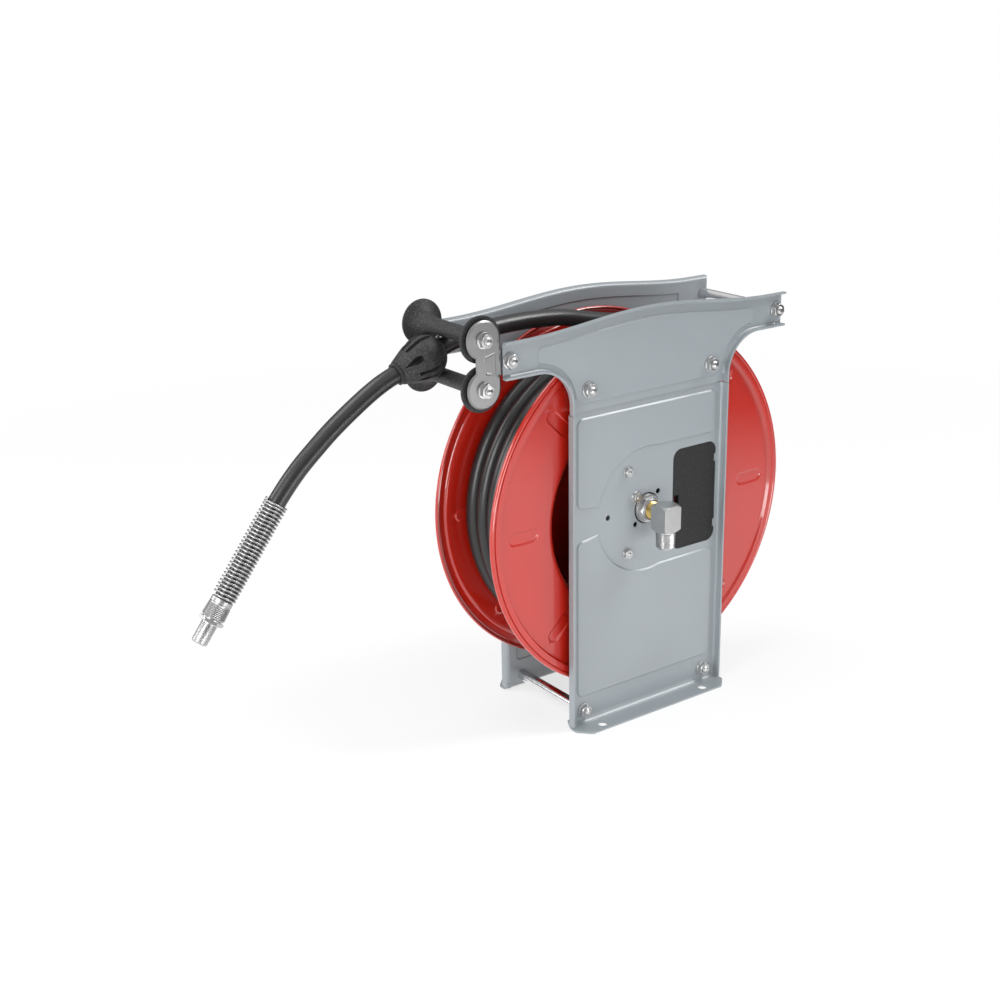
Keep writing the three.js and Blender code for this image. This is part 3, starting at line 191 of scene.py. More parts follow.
class ReelSizes(bpy.types.PropertyGroup):
    """Sizes of the details that the looks add to the solids"""

    edge: number(FloatProperty, "Sheet Edge", "Rounding of the frame sheets' edges, in mm", 0.45, 0.1, 0.9)
    slot_depth: number(FloatProperty, "Slot Depth", "Depth of the slots in the discs, in mm", 1.1, 0, 2)
    disc_segments: number(IntProperty, "Disc Segments", "Segments round the drum between its slots", 14, 4, 40)
    hose_sides: number(IntProperty, "Hose Sides", "Sides of the hose's round section", 20, 8, 48)
    thread_depth: number(FloatProperty, "Thread Depth", "A thread's crest above its root, in mm", 0.8, 0.2, 1.2)
    grain: number(FloatProperty, "Grain", "Strength of the moulded grain on black plastic", 0.5, 0, 1)


# ---------------------------------------------------------------- node trees written as expressions
class Value:
    """One output socket of a node tree. Arithmetic on it adds Math nodes."""

    def __init__(self, tree, socket):
        self.tree, self.socket = tree, socket

    def maths(self, operation, *others):
        return self.tree.add("ShaderNodeMath", {"operation": operation}, dict(enumerate((self, *others))))

    def __rsub__(self, other):
        return (self * -1) + other

    __add__ = __radd__ = partialmethod(maths, "ADD")
    __mul__ = __rmul__ = partialmethod(maths, "MULTIPLY")
    __sub__ = partialmethod(maths, "SUBTRACT")
    __truediv__ = partialmethod(maths, "DIVIDE")
    least = partialmethod(maths, "MINIMUM")
    most = partialmethod(maths, "MAXIMUM")
    cosine = partialmethod(maths, "COSINE")
    sine = partialmethod(maths, "SINE")


class Tree:
    """A node tree and the one method that adds a node to it."""

    def __init__(self, tree):
        self.tree = tree

    def add(self, kind, settings=None, inputs=None, out=0):
        node = self.tree.nodes.new(kind)
        for key, value in (settings or {}).items():
            if key == "stops":
                ramp = node.color_ramp
                for i, (place, shade) in enumerate(value):
                    stop = ramp.elements[i] if i < 2 else ramp.elements.new(place)
                    stop.position, stop.color = place, (*shade, 1)
            else:
                setattr(node, key, value)
        for key, value in (inputs or {}).items():
            self.feed(node.inputs[key], value)
        return Value(self, node.outputs[out]) if node.outputs else node

    def feed(self, socket, value):
        if isinstance(value, Value):
            self.tree.links.new(value.socket, socket)
        elif socket.type == "RGBA" and len(value) == 3:
            socket.default_value = (*value, 1)
        else:
            socket.default_value = value


class Finish(Tree):
    """A material with one Principled shader."""

    def __init__(self, name):
        self.material = bpy.data.materials.new(name)
        self.material.use_nodes = True
        super().__init__(self.material.node_tree)
        self.tree.nodes.clear()
        self.place = self.add("ShaderNodeTexCoord", out="Object")

    def noise(self, scale, detail=3, roughness=0.55, vector=None):
        inputs = {"Vector": vector or self.place, "Scale": scale, "Detail": detail, "Roughness": roughness}
        return self.add("ShaderNodeTexNoise", {}, inputs)

    def ramp(self, value, low, high):
        """0 below low, 1 above high."""
        stops = [(low, (0, 0, 0)), (high, (1, 1, 1))]
        return self.add("ShaderNodeValToRGB", {"stops": stops}, {"Fac": value})

    def mixed(self, factor, first, second):
        return self.add("ShaderNodeMix", {"data_type": "RGBA"}, {0: factor, 6: first, 7: second}, out=2)

    def along(self, x, y):
        """How far a place lies along a level direction."""
        inputs = {0: self.place, 1: (x, y, 0)}
        return self.add("ShaderNodeVectorMath", {"operation": "DOT_PRODUCT"}, inputs, out="Value")

    def stretched(self, scale):
        return self.add("ShaderNodeMapping", {}, {"Vector": self.place, "Scale": scale})

    def bump(self, height, strength, distance, normal=None):
        inputs = {"Height": height, "Strength": strength, "Distance": distance}
        if normal:
            inputs["Normal"] = normal
        return self.add("ShaderNodeBump", {}, inputs)

    def shade(self, **inputs):
        named = {key.replace("_", " "): value for key, value in inputs.items()}
        shader = self.add("ShaderNodeBsdfPrincipled", {}, named)
        self.add("ShaderNodeOutputMaterial", {}, {"Surface": shader})
        return self.material


def tinted(base, share):
    """A colour made lighter or darker by a share."""
    return tuple(min(1, max(0, value * share)) for value in base)


# ---------------------------------------------------------------- finishes
def satin_paint(base):
    """Powder coat: fine orange peel, a slight cloudiness and an uneven gloss."""
    coat = Finish("frame_paint_satin")
    cloud = coat.noise(9, 4)
    peel = coat.noise(620, 2)
    shade = coat.mixed(coat.ramp(cloud, 0.3, 0.72), tinted(base, 0.965), tinted(base, 1.03))
    dull = 0.3 + 0.1 * coat.noise(26, 5)
    normal = coat.bump(peel, 0.08, 0.0004)
    return coat.shade(Base_Color=shade, Roughness=dull, Normal=normal, Specular_IOR_Level=0.95)


def gloss_paint(base):
    """Sprayed gloss over pressed sheet, with long soft waves under a clear, mirror smooth top."""
    coat = Finish("drum_paint_gloss")
    wave = coat.noise(34, 2)
    peel = coat.noise(420, 2)
    shade = coat.mixed(coat.ramp(coat.noise(7, 3), 0.3, 0.7), tinted(base, 0.96), tinted(base, 1.04))
    normal = coat.bump(peel, 0.03, 0.0003, coat.bump(wave, 0.06, 0.002))
    rough = 0.2 + 0.06 * coat.noise(18, 4)
    top = {"Coat_Weight": 1.0, "Coat_Roughness": 0.04, "Coat_IOR": 1.6}
    return coat.shade(Base_Color=shade, Roughness=rough, Normal=normal, **top)


def plated(base, name="zinc_plate", rough=0.28, fine=0.01):
    """Bright zinc or chrome: faint tool marks and a little tarnish."""
    coat = Finish(name)
    marks = coat.noise(500, 2)
    tarnish = coat.ramp(coat.noise(60, 4), 0.35, 0.8)
    shade = coat.mixed(tarnish, base, tinted(base, 0.86))
    normal = coat.bump(marks, fine, 0.0002)
    return coat.shade(Base_Color=shade, Metallic=1.0, Roughness=rough + 0.14 * tarnish, Normal=normal)


def brushed(base):
    """Stainless sheet brushed along the height of the bracket."""
    coat = Finish("stainless_brushed")
    lines = coat.noise(700, 3, vector=coat.stretched((1, 1, 0.035)))
    shade = coat.mixed(coat.ramp(lines, 0.3, 0.7), tinted(base, 0.975), tinted(base, 1.02))
    rough = 0.34 + 0.06 * lines
    return coat.shade(Base_Color=shade, Metallic=1.0, Roughness=rough, Normal=coat.bump(lines, 0.03, 0.0002))


def moulded(base, name, grain, speck):
    """Black plastic with a moulded grain: small pits, and painted highlights, lighter specks in the colour
    where the grain would catch light.
    """
    coat = Finish(name)
    cells = coat.add("ShaderNodeTexVoronoi", {}, {"Vector": coat.place, "Scale": 600})
    pits = coat.noise(700, 3)
    # painted highlights: random specks of lighter colour that stand in for glints on the grain
    painted_glints = coat.ramp(coat.noise(760, 2, 0.5), 0.52, 0.7)
    shade = coat.mixed(painted_glints, base, tinted(base, speck))
    normal = coat.bump(pits, grain, 0.0008, coat.bump(cells, grain * 0.8, 0.0005))
    rough = 0.42 + 0.2 * pits
    return coat.shade(Base_Color=shade, Roughness=rough, Normal=normal, Specular_IOR_Level=0.35)


def rubber_cover(base):
    """Hose cover: smooth wrapped rubber with a waxy gloss and faint dust."""
    coat = Finish("hose_rubber_cover")
    dust = coat.ramp(coat.noise(45, 5), 0.5, 0.85)
    shade = coat.mixed(dust, base, tinted(base, 1.4))
    normal = coat.bump(coat.noise(60, 2), 0.02, 0.001)
    return coat.shade(Base_Color=shade, Roughness=0.33 + 0.1 * dust, Normal=normal, Specular_IOR_Level=0.65)


def studio_floor(base):
    """A pale floor: nearly white to the camera with the object's shadow, and white farther out.

    In reflections it is white, and dim past a line about a metre away towards +X and +Y.
    """
    floor = Finish("studio_floor")
    seen = floor.add("ShaderNodeLightPath", out="Is Camera Ray")
    glossy = floor.add("ShaderNodeLightPath", out="Is Glossy Ray")
    lit = floor.add("ShaderNodeBsdfDiffuse", {}, {"Color": base})
    white = floor.add("ShaderNodeEmission", {}, {"Color": (1, 1, 1), "Strength": 1.0})
    shrink = 0.25  # the ramps run from 0 to 1 over four metres
    apart = floor.add("ShaderNodeVectorMath", {"operation": "LENGTH"}, {0: floor.place}, out="Value") * shrink
    near = 1 - floor.ramp(floor.along(0.82, 0.57) * shrink, 0.18, 0.3)
    share = seen * (0.7 + 0.3 * floor.ramp(apart, 0.12, 0.42)) + glossy * near
    dim = floor.add("ShaderNodeEmission", {}, {"Color": (1, 1, 1), "Strength": 0.14})
    bright = floor.add("ShaderNodeMixShader", {}, {0: share, 1: lit, 2: white})
    mix = floor.add("ShaderNodeMixShader", {}, {0: glossy * (1 - near), 1: bright, 2: dim})
    floor.add("ShaderNodeOutputMaterial", {}, {"Surface": mix})
    return floor.material


FINISHES = {}


def mix_finishes(colours, grain):
    """Every finish by the name of its slot, and a few more for single pieces."""
    FINISHES.update(
        frame_paint=satin_paint(colours.paint),
        drum_paint=gloss_paint(colours.drum),
        zinc=plated(colours.zinc),
        bright_rod=plated(colours.chrome, "bright_rod", 0.07, 0.01),
        steel=plated(colours.steel, "turned_steel", 0.3, 0.01),
        spring_wire=plated(tinted(colours.zinc, 0.72), "spring_wire", 0.3, 0.02),
        cut_rings=plated(tinted(colours.zinc, 0.8), "cut_rings", 0.36, 0.0),
        stainless=brushed(colours.stainless),
        brass=plated(colours.brass, "brass_turned", 0.24, 0.03),
        # near-black axle finish, partly painted shade for the hub's spare holes that look onto the axle's
        # flange
        black_oxide=plated(colours.oxide_and_hole_shade, "black_oxide", 0.45, 0.1),
        black_plastic=moulded(colours.plastic, "black_plastic", grain * 0.7, 3.4),
        housing=moulded(tinted(colours.plastic, 0.6), "housing_plastic", grain, 2.2),
        hose_rubber=rubber_cover(colours.rubber),
    )


# ---------------------------------------------------------------- outlines
def arc(y, z, radius, start, end, steps):
    """Points of an arc about (y, z), in degrees, both ends included."""
    turns = [math.radians(start + (end - start) * i / steps) for i in range(steps + 1)]
    return [(y + radius * math.cos(a), z + radius * math.sin(a)) for a in turns]


def rounded(corners, steps=8):
    """A closed outline from corners (y, z) or (y, z, radius)."""
    points = []
    for i, corner in enumerate(corners):
        here = Vector(corner[:2])
        radius = corner[2] if len(corner) > 2 else 0
        if not radius:
            points.append(tuple(here))
            continue
        back = (Vector(corners[i - 1][:2]) - here).normalized()
        ahead = (Vector(corners[(i + 1) % len(corners)][:2]) - here).normalized()
        half = math.acos(max(-1, min(1, back.dot(ahead)))) / 2
        centre = here + (back + ahead).normalized() * radius / math.sin(half)
        first = here + back * radius / math.tan(half) - centre
        cross = back.x * ahead.y - back.y * ahead.x
        sweep = (math.pi - 2 * half) * (-1 if cross > 0 else 1)
        for k in range(steps + 1):
            points.append(tuple(centre + Matrix.Rotation(sweep * k / steps, 2) @ first))
    return points


def inset(points, distance):
    """An anticlockwise outline moved inwards, corner by corner."""
    result = []
    for i, (y, z) in enumerate(points):
        here = Vector((y, z))
        a = (here - Vector(points[i - 1])).normalized()
        b = (Vector(points[(i + 1) % len(points)]) - here).normalized()
        normal = Vector((-a.y - b.y, a.x + b.x)).normalized()
        reach = distance / (normal.x * -a.y + normal.y * a.x)
        result.append(tuple(here + normal * reach))
    return result


# ---------------------------------------------------------------- raw shapes
MERGE = 1e-4  # distance under which two vertices are one
SWAP_XY = Matrix(((0, 1, 0, 0), (1, 0, 0, 0), (0, 0, 1, 0), (0, 0, 0, 1)))
SWAP_XZ = Matrix(((0, 0, 1, 0), (0, 1, 0, 0), (1, 0, 0, 0), (0, 0, 0, 1)))
FLIP_X = Matrix.Diagonal((-1, 1, 1, 1))
CORNER_SLOPE = math.tan(math.radians(30))  # of the cone that turns off a hexagon's or a square's corners


def shape(name, points, faces):
    mesh = bpy.data.meshes.new(name)
    mesh.from_pydata([tuple(p) for p in points], [], faces)
    made = bpy.data.objects.new(name, mesh)
    bpy.context.scene.collection.objects.link(made)
    return made


def outward(made):
    """Merges doubles, drops faces without area and points every face outwards."""
    work = bmesh.new()
    work.from_mesh(made.data)
    bmesh.ops.remove_doubles(work, verts=work.verts, dist=MERGE)
    bmesh.ops.dissolve_degenerate(work, edges=work.edges, dist=MERGE)
    bmesh.ops.recalc_face_normals(work, faces=work.faces)
    work.to_mesh(made.data)
    work.free()
    return made


def skin(count, rings, closed=False):
    """Faces between neighbouring rings of count points each. A closed skin ends on its first ring."""
    faces = []
    for k in range(rings if closed else rings - 1):
        here, ahead = k * count, (k + 1) % rings * count
        for i in range(count):
            j = (i + 1) % count
            faces.append((here + i, here + j, ahead + j, ahead + i))
    return faces


def stack(layers):
    """A solid through outlines (x, points) of equal counts, x rising, drawn in the YZ plane."""
    count = len(layers[0][1])
    points = [(x, y, z) for x, outline in layers for y, z in outline]
    faces = skin(count, len(layers))
    top = (len(layers) - 1) * count
    faces.append(tuple(reversed(range(count))))
    faces.append(tuple(range(top, top + count)))
    return outward(shape("stack", points, faces))


def slab(outline, x0, x1):
    return stack([(x0, outline), (x1, outline)])


def block(x0, x1, y0, y1, z0, z1):
    return slab([(y0, z0), (y1, z0), (y1, z1), (y0, z1)], x0, x1)


def rolled(outline, x0, x1, radius):
    """A slab whose edge at x0 is rounded, as a folded sheet is."""
    layers, steps = [], 6
    for i in range(steps + 1):
        a = math.radians(90 * i / steps)
        layers.append((x0 + radius * (1 - math.cos(a)), inset(outline, radius * (1 - math.sin(a)))))
    return stack([*layers, (x1, outline)])


def spun(profile, segments=64):
    """A piece turned about the X axis from a closed profile (x, radius)."""
    points = []
    for k in range(segments):
        a = 2 * math.pi * k / segments
        points += [(x, r * math.cos(a), r * math.sin(a)) for x, r in profile]
    return outward(shape("spun", points, skin(len(profile), segments, closed=True)))


def rod(x0, x1, radius, segments=40, chamfer=0):
    ends = [(x0, 0), (x1, 0)]
    if not chamfer:
        return spun([*ends, (x1, radius), (x0, radius)], segments)
    low = radius - chamfer
    return spun([*ends, (x1, low), (x1 - chamfer, radius), (x0 + chamfer, radius), (x0, low)], segments)


def ring(x0, x1, outer, inner, soft=0.3, segments=64):
    corners = [(x0, inner, soft), (x1, inner, soft), (x1, outer, soft), (x0, outer, soft)]
    return spun(rounded(corners, 3), segments)


def hexagon(x0, x1, flats):
    """A hexagon head with the usual turned corners at its outer end."""
    corner, flat = flats / math.sqrt(3), flats / 2 - 0.3
    drop = (corner - flats / 2 + 0.3) * CORNER_SLOPE
    cone = [(x0 - 1, 0), (x1, 0), (x1, flat), (x1 - drop, corner), (x0 - 1, corner)]
    return combine(slab(arc(0, 0, corner, 0, 300, 5), x0, x1), [spun(cone, 72)], "INTERSECT")


def moved(made, x=0, y=0, z=0):
    made.data.transform(Matrix.Translation((x, y, z)))
    return made


def copied(made):
    twin = bpy.data.objects.new("copy", made.data.copy())
    bpy.context.scene.collection.objects.link(twin)
    return twin


def reflected(made, matrix):
    """Mirrors a shape, or swaps two of its axes, and keeps its faces outwards."""
    made.data.transform(matrix)
    made.data.flip_normals()
    return made


def mirrored(made):
    """The same shape on the other side of the drum's middle, as a new object."""
    return reflected(copied(made), FLIP_X)


def joined(pieces, name="joined"):
    """One object from several meshes, as they are."""
    work = bmesh.new()
    for piece in pieces:
        work.from_mesh(piece.data)
        bpy.data.objects.remove(piece)
    mesh = bpy.data.meshes.new(name)
    work.to_mesh(mesh)
    work.free()
    made = bpy.data.objects.new(name, mesh)
    bpy.context.scene.collection.objects.link(made)
    return made


def baked(made):
    """Applies an object's modifiers to its mesh."""
    bpy.context.view_layer.update()
    depsgraph = bpy.context.evaluated_depsgraph_get()
    mesh = bpy.data.meshes.new_from_object(
        made.evaluated_get(depsgraph), preserve_all_data_layers=True, depsgraph=depsgraph
    )
    made.modifiers.clear()
    made.data = mesh
    return made


def combine(base, tools, operation="DIFFERENCE"):
    """Adds, cuts or keeps the overlap of solids, and removes the tools."""
    for tool in tools:
        step = base.modifiers.new("combine", "BOOLEAN")
        step.object, step.operation, step.solver = tool, operation, "EXACT"
    baked(base)
    for tool in tools:
        bpy.data.objects.remove(tool)
    return base


def softened(made, width, segments=3, angle=30, hardened=False):
    """Rounds the edges, and keeps the flats flat by weighted or by hardened normals."""
    bevel = made.modifiers.new("edge", "BEVEL")
    bevel.width, bevel.segments, bevel.limit_method = width, segments, "ANGLE"
    bevel.angle_limit = math.radians(angle)
    bevel.use_clamp_overlap = True
    bevel.miter_outer = "MITER_ARC"
    smooth(made)
    bevel.harden_normals = hardened
    if not hardened:
        made.modifiers.new("normals", "WEIGHTED_NORMAL").weight = 90
    return baked(made)


def smooth(made, sharp=None):
    """Smooth shading, with sharp edges above an angle where one is given."""
    made.data.polygons.foreach_set("use_smooth", [True] * len(made.data.polygons))
    if sharp:
        made.data.set_sharp_from_angle(angle=math.radians(sharp))
    return made


def hand_over(made, name, body, slot, nodes, finish=None):
    """Names a finished mesh, puts it into the row frame, gives it a finish (the given one, else its slot's),
    sets it under its body's empty and hides the CAD nodes it replaces.
    """
    made.name = made.data.name = name
    made.data.transform(TO_ROW)
    made.data.materials.clear()
    made.data.materials.append(FINISHES[finish or slot])
    made.data.update()
    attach(made, body)
    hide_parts(*nodes)
    return made


def on_axle(made, *handed):
    """Lifts a shape that was drawn about the origin to the axle, and hands it over."""
    return hand_over(moved(made, 0, 0, AXLE_Z), *handed)


# ---------------------------------------------------------------- geometry node trees
class Growth(Tree):
    """A geometry tree with named inputs, that ends in Realize Instances and Set Material."""

    KINDS = {float: "NodeSocketFloat", int: "NodeSocketInt", "object": "NodeSocketObject"}

    def __init__(self, name, inputs):
        super().__init__(bpy.data.node_groups.new(name, "GeometryNodeTree"))
        face = self.tree.interface
        face.new_socket(name="Geometry", in_out="OUTPUT", socket_type="NodeSocketGeometry")
        face.new_socket(name="Geometry", in_out="INPUT", socket_type="NodeSocketGeometry")
        for key, value in inputs.items():
            kind = value if value == "object" else type(value)
            socket = face.new_socket(name=key, in_out="INPUT", socket_type=self.KINDS[kind])
            if value != "object":
                socket.default_value = value
        face.new_socket(name="Material", in_out="INPUT", socket_type="NodeSocketMaterial")
        self.entry = self.tree.nodes.new("NodeGroupInput")

    def given(self, name):
        return Value(self, self.entry.outputs[name])

    def tube(self, path, sides, radius):
        """A capped round section along a curve, sized by two named inputs."""
        inputs = {"Resolution": self.given(sides), "Radius": self.given(radius)}
        section = self.add("GeometryNodeCurvePrimitiveCircle", {}, inputs)
        inputs = {"Curve": path, "Profile Curve": section, "Fill Caps": True}
        return self.add("GeometryNodeCurveToMesh", {}, inputs)

    def placed(self, points, turn):
        """The input piece on every point, turned."""
        piece = self.add("GeometryNodeObjectInfo", {}, {"Object": self.given("Piece")}, out="Geometry")
        inputs = {"Points": points, "Instance": piece, "Rotation": turn}
        return self.add("GeometryNodeInstanceOnPoints", {}, inputs)

    def close(self, geometry):
        real = self.add("GeometryNodeRealizeInstances", {}, {"Geometry": geometry})
        done = self.add("GeometryNodeSetMaterial", {}, {"Geometry": real, "Material": self.given("Material")})
        exit_node = self.tree.nodes.new("NodeGroupOutput")
        self.tree.links.new(done.socket, exit_node.inputs[0])
        return self.tree


def grown(tree, name, material, inputs, source=None):
    """The mesh that a geometry tree makes, on its own object with no modifier left."""
    made = source or shape(name, [], [])
    step = made.modifiers.new("growth", "NODES")
    step.node_group = tree
    for item in tree.interface.items_tree:
        if item.in_out == "INPUT" and item.name in inputs:
            step[item.identifier] = inputs[item.name]
        if item.in_out == "INPUT" and item.name == "Material":
            step[item.identifier] = material
    return smooth(baked(made))


def coil_tree():
    """A wire wound about the X axis between two ends, whose first turns may be closer."""
    tree = Growth(
        "Coil",
        {
            "Start": 0.0,
            "End": 100.0,
            "Turns": 10.0,
            "Closed Turns": 0.0,
            "Closed Pitch": 1.0,
            "Start Radius": 10.0,
            "End Radius": 10.0,
            "Wire Radius": 1.0,
            "Wire Sides": 8,
            "Steps": 300,
        },
    )
    line = tree.add("GeometryNodeCurvePrimitiveLine")
    path = tree.add("GeometryNodeResampleCurve", {}, {"Curve": line, "Count": tree.given("Steps")})
    share = tree.add("GeometryNodeSplineParameter")
    turns = tree.given("Turns")
    done = share * turns
    closed = tree.given("Closed Turns")
    run = closed * tree.given("Closed Pitch")
    start, end = tree.given("Start"), tree.given("End")
    pitch = (end - start - run) / (turns - closed).most(0.001)
    along = start + done.least(closed) * tree.given("Closed Pitch") + (done - closed).most(0) * pitch
    radius = tree.given("Start Radius") + share * (tree.given("End Radius") - tree.given("Start Radius"))
    angle = done * (2 * math.pi)
    round_x = {0: radius * angle.cosine(), 1: radius * angle.sine(), 2: along}
    spot = tree.add("ShaderNodeCombineXYZ", {}, round_x)
    wound = tree.add("GeometryNodeSetPosition", {}, {"Geometry": path, "Position": spot})
    level = tree.add("GeometryNodeSetCurveNormal", {"mode": "Z_UP"}, {"Curve": wound})
    upright = tree.tube(level, "Wire Sides", "Wire Radius")
    lying = tree.add("GeometryNodeTransform", {}, {"Geometry": upright, "Rotation": (0, math.pi / 2, 0)})
    return tree.close(lying)


def hose_tree():
    """A round hose along the edges of a mesh."""
    tree = Growth("Hose", {"Radius": HOSE, "Sides": 20})
    path = tree.add("GeometryNodeMeshToCurve", {}, {"Mesh": tree.given("Geometry")})
    return tree.close(tree.tube(path, "Sides", "Radius"))


def scatter_tree():
    """One piece on every vertex, each turned about X by a seeded random angle. Negative sides face -X."""
    tree = Growth("Fasteners", {"Piece": "object", "Most Turn": 6.2832, "Seed": 3})
    points = tree.add("GeometryNodeMeshToPoints", {}, {"Mesh": tree.given("Geometry")})
    place = tree.add("GeometryNodeInputPosition")
    x = tree.add("ShaderNodeSeparateXYZ", {}, {0: place})
    flip = tree.add("ShaderNodeMath", {"operation": "LESS_THAN"}, {0: x, 1: 0.0}) * math.pi
    inputs = {3: tree.given("Most Turn"), "Seed": tree.given("Seed")}
    spin = tree.add("FunctionNodeRandomValue", {"data_type": "FLOAT"}, inputs, out=1)
    turn = tree.add("ShaderNodeCombineXYZ", {}, {0: spin, 2: flip})
    return tree.close(tree.placed(points, turn))


def wheel_tree():
    """One piece repeated at even angles round the X axis, for ribs."""
    tree = Growth("Ribs", {"Piece": "object", "Count": 8, "First Angle": 0.0})
    points = tree.add("GeometryNodePoints", {}, {"Count": tree.given("Count")})
    index = tree.add("GeometryNodeInputIndex")
    angle = tree.given("First Angle") + index * (2 * math.pi) / tree.given("Count")
    turn = tree.add("ShaderNodeCombineXYZ", {}, {0: angle})
    return tree.close(tree.placed(points, turn))


TREES = {}


def coil(x0, x1, turns, start_radius, end_radius, wire, sides, **more):
    """A wire wound about the X axis. Its finish comes later, with its piece."""
    inputs = {
        "Start": float(x0),
        "End": float(x1),
        "Turns": float(turns),
        "Start Radius": float(start_radius),
        "End Radius": float(end_radius),
        "Wire Radius": float(wire),
        "Wire Sides": sides,
        "Steps": int(turns * 36),
        **more,
    }
    return grown(TREES["coil"], "coil", FINISHES["zinc"], inputs)


def thread(x0, x1, start_radius, end_radius, pitch):
    """The crest of a screw thread, or the ribs of a rolled sleeve, between two radii over a root."""
    half = pitch / 2
    return smooth(coil(x0, x1, abs(x1 - x0) / pitch, start_radius - half, end_radius - half, half, 4), 40)


def scattered(piece, places, name, nodes, seed):
    """The same zinc fastener at several places, handed over as one piece."""
    inputs = {"Piece": piece, "Seed": seed}
    made = smooth(grown(TREES["scatter"], name, FINISHES["zinc"], inputs, shape(name, places, [])), 38)
    return hand_over(made, name, "frame", "zinc", nodes)


# ---------------------------------------------------------------- stage
class ReelStage(bpy.types.Operator):
    """Camera, lamps, world and pale floor"""

    bl_idname = "hose_reel.stage"
    bl_label = "Studio Stage"

    def execute(self, context):
        scene = context.scene
        scene.view_settings.view_transform = "Standard"
        camera = bpy.data.objects.new("camera", bpy.data.cameras.new("camera"))
        scene.collection.objects.link(camera)
        camera.data.lens, camera.data.sensor_width = CAMERA["lens"], CAMERA["sensor"]
        camera.data.clip_start, camera.data.clip_end = CAMERA["clip"]
        yaw, pitch, roll = (math.radians(CAMERA[key]) for key in ("yaw", "pitch", "roll"))
        back = Vector((math.sin(yaw) * math.cos(pitch), -math.cos(yaw) * math.cos(pitch), math.sin(pitch)))
        level = Vector((math.cos(yaw), math.sin(yaw), 0))
        above = back.cross(level)
        right = math.cos(roll) * level + math.sin(roll) * above
        up = -math.sin(roll) * level + math.cos(roll) * above
        turn = Matrix((right, up, back)).transposed().to_4x4()
        camera.matrix_world = Matrix.Translation(TO_ROW @ Vector(CAMERA["place"])) @ turn
        scene.camera = camera
        self.lamps(scene, right, back)
        self.world(scene)
        half = FLOOR_SIDE / 2
        corners = [(-half, -half, 0), (half, -half, 0), (half, half, 0), (-half, half, 0)]
        floor = shape("floor", corners, [(0, 1, 2, 3)])
        floor.data.materials.append(studio_floor(context.scene.reel_colours.floor))
        return {"FINISHED"}

    def lamps(self, scene, right, back):
        """Soft boxes aimed at the axle: name, place, size in metres and power in watts."""
        aim = Vector(LAMP_AIM)
        level = Vector((back.x, back.y, 0)).normalized()
        rise = Vector((0, 0, 1))
        boxes = [
            ("key", aim - right * 1.0 + level * 1.2 + rise * 0.4, (0.5, 1.0), 12),
            ("fill", aim + right * 0.45 + level * 0.75 - rise * 0.17, (0.9, 0.25), 4),
            ("rim", aim + Vector((0.75, 1.25, 1.75)), (0.7, 1.1), 30),
            ("top", aim + Vector((-0.5, -0.8, 1.85)), (1.2, 0.7), 9),
            ("front", aim - right * 2.0 - level * 0.1 + rise * 0.9, (0.6, 1.4), 13),
        ]
        for name, place, size, power in boxes:
            lamp = bpy.data.lights.new(name, "AREA")
            lamp.shape, lamp.energy = "RECTANGLE", power
            lamp.size, lamp.size_y = size
            holder = bpy.data.objects.new(name, lamp)
            holder.location = place
            holder.visible_camera = False
            holder.rotation_mode = "QUATERNION"
            holder.rotation_quaternion = (place - aim).to_track_quat("Z", "Y")
            scene.collection.objects.link(holder)

    def world(self, scene):
        """White to the camera, softer to the surfaces, and darker below the horizon for the metal."""
        world = bpy.data.worlds.new("studio")
        scene.world = world
        world.use_nodes = True
        tree = Tree(world.node_tree)
        tree.tree.nodes.clear()
        way = tree.add("ShaderNodeTexCoord", out="Generated")
        height = tree.add("ShaderNodeSeparateXYZ", {}, {0: way}, out="Z") * 0.5 + 0.5
        stops = [(0.0, (0.5, 0.5, 0.5)), (0.45, (0.62, 0.63, 0.65)), (0.75, (0.95, 0.95, 0.95))]
        sky = tree.add("ShaderNodeValToRGB", {"stops": stops}, {"Fac": height})
        dark = [(0.5, (0.2, 0.2, 0.2)), (0.56, (0.1, 0.1, 0.11))]
        dark += [(0.7, (0.35, 0.35, 0.35)), (0.88, (0.9, 0.9, 0.9))]
        cards = tree.add("ShaderNodeValToRGB", {"stops": dark}, {"Fac": height})
        soft = tree.add("ShaderNodeBackground", {}, {"Color": sky, "Strength": 0.54})
        shiny = tree.add("ShaderNodeBackground", {}, {"Color": cards, "Strength": 1.0})
        white = tree.add("ShaderNodeBackground", {}, {"Color": (1, 1, 1), "Strength": 1.0})
        glossy = tree.add("ShaderNodeLightPath", out="Is Glossy Ray")
        seen = tree.add("ShaderNodeLightPath", out="Is Camera Ray")
        lit = tree.add("ShaderNodeMixShader", {}, {0: glossy, 1: soft, 2: shiny})
        mix = tree.add("ShaderNodeMixShader", {}, {0: seen, 1: lit, 2: white})
        tree.add("ShaderNodeOutputWorld", {}, {"Surface": mix})


# ---------------------------------------------------------------- free hose
def between(first, second, start, end, at):
    """The point at a place on the line that is at first for start and at second for end."""
    return first * ((end - at) / (end - start)) + second * ((at - start) / (end - start))


def smooth_route(points, steps):
    """Points along a centripetal curve through the given ones."""
    spots = [Vector(p) for p in points]
    spots = [2 * spots[0] - spots[1], *spots, 2 * spots[-1] - spots[-2]]
    route = []
    for i in range(1, len(spots) - 2):
        p = spots[i - 1 : i + 3]
        t = [0.0]
        for k in range(3):
            t.append(t[-1] + max((p[k + 1] - p[k]).length ** 0.5, 1e-6))
        for k in range(steps):
            u = t[1] + (t[2] - t[1]) * k / steps
            a = [between(p[j], p[j + 1], t[j], t[j + 1], u) for j in range(3)]
            b = [between(a[j], a[j + 1], t[j], t[j + 2], u) for j in range(2)]
            route.append(between(*b, t[1], t[2], u))
    route.append(spots[-2])
    return route


def line_shape(points):
    """A mesh of edges through points."""
    made = shape("line", points, [])
    mesh = made.data
    mesh.edges.add(len(points) - 1)
    for i, edge in enumerate(mesh.edges):
        edge.vertices = (i, i + 1)
    return made


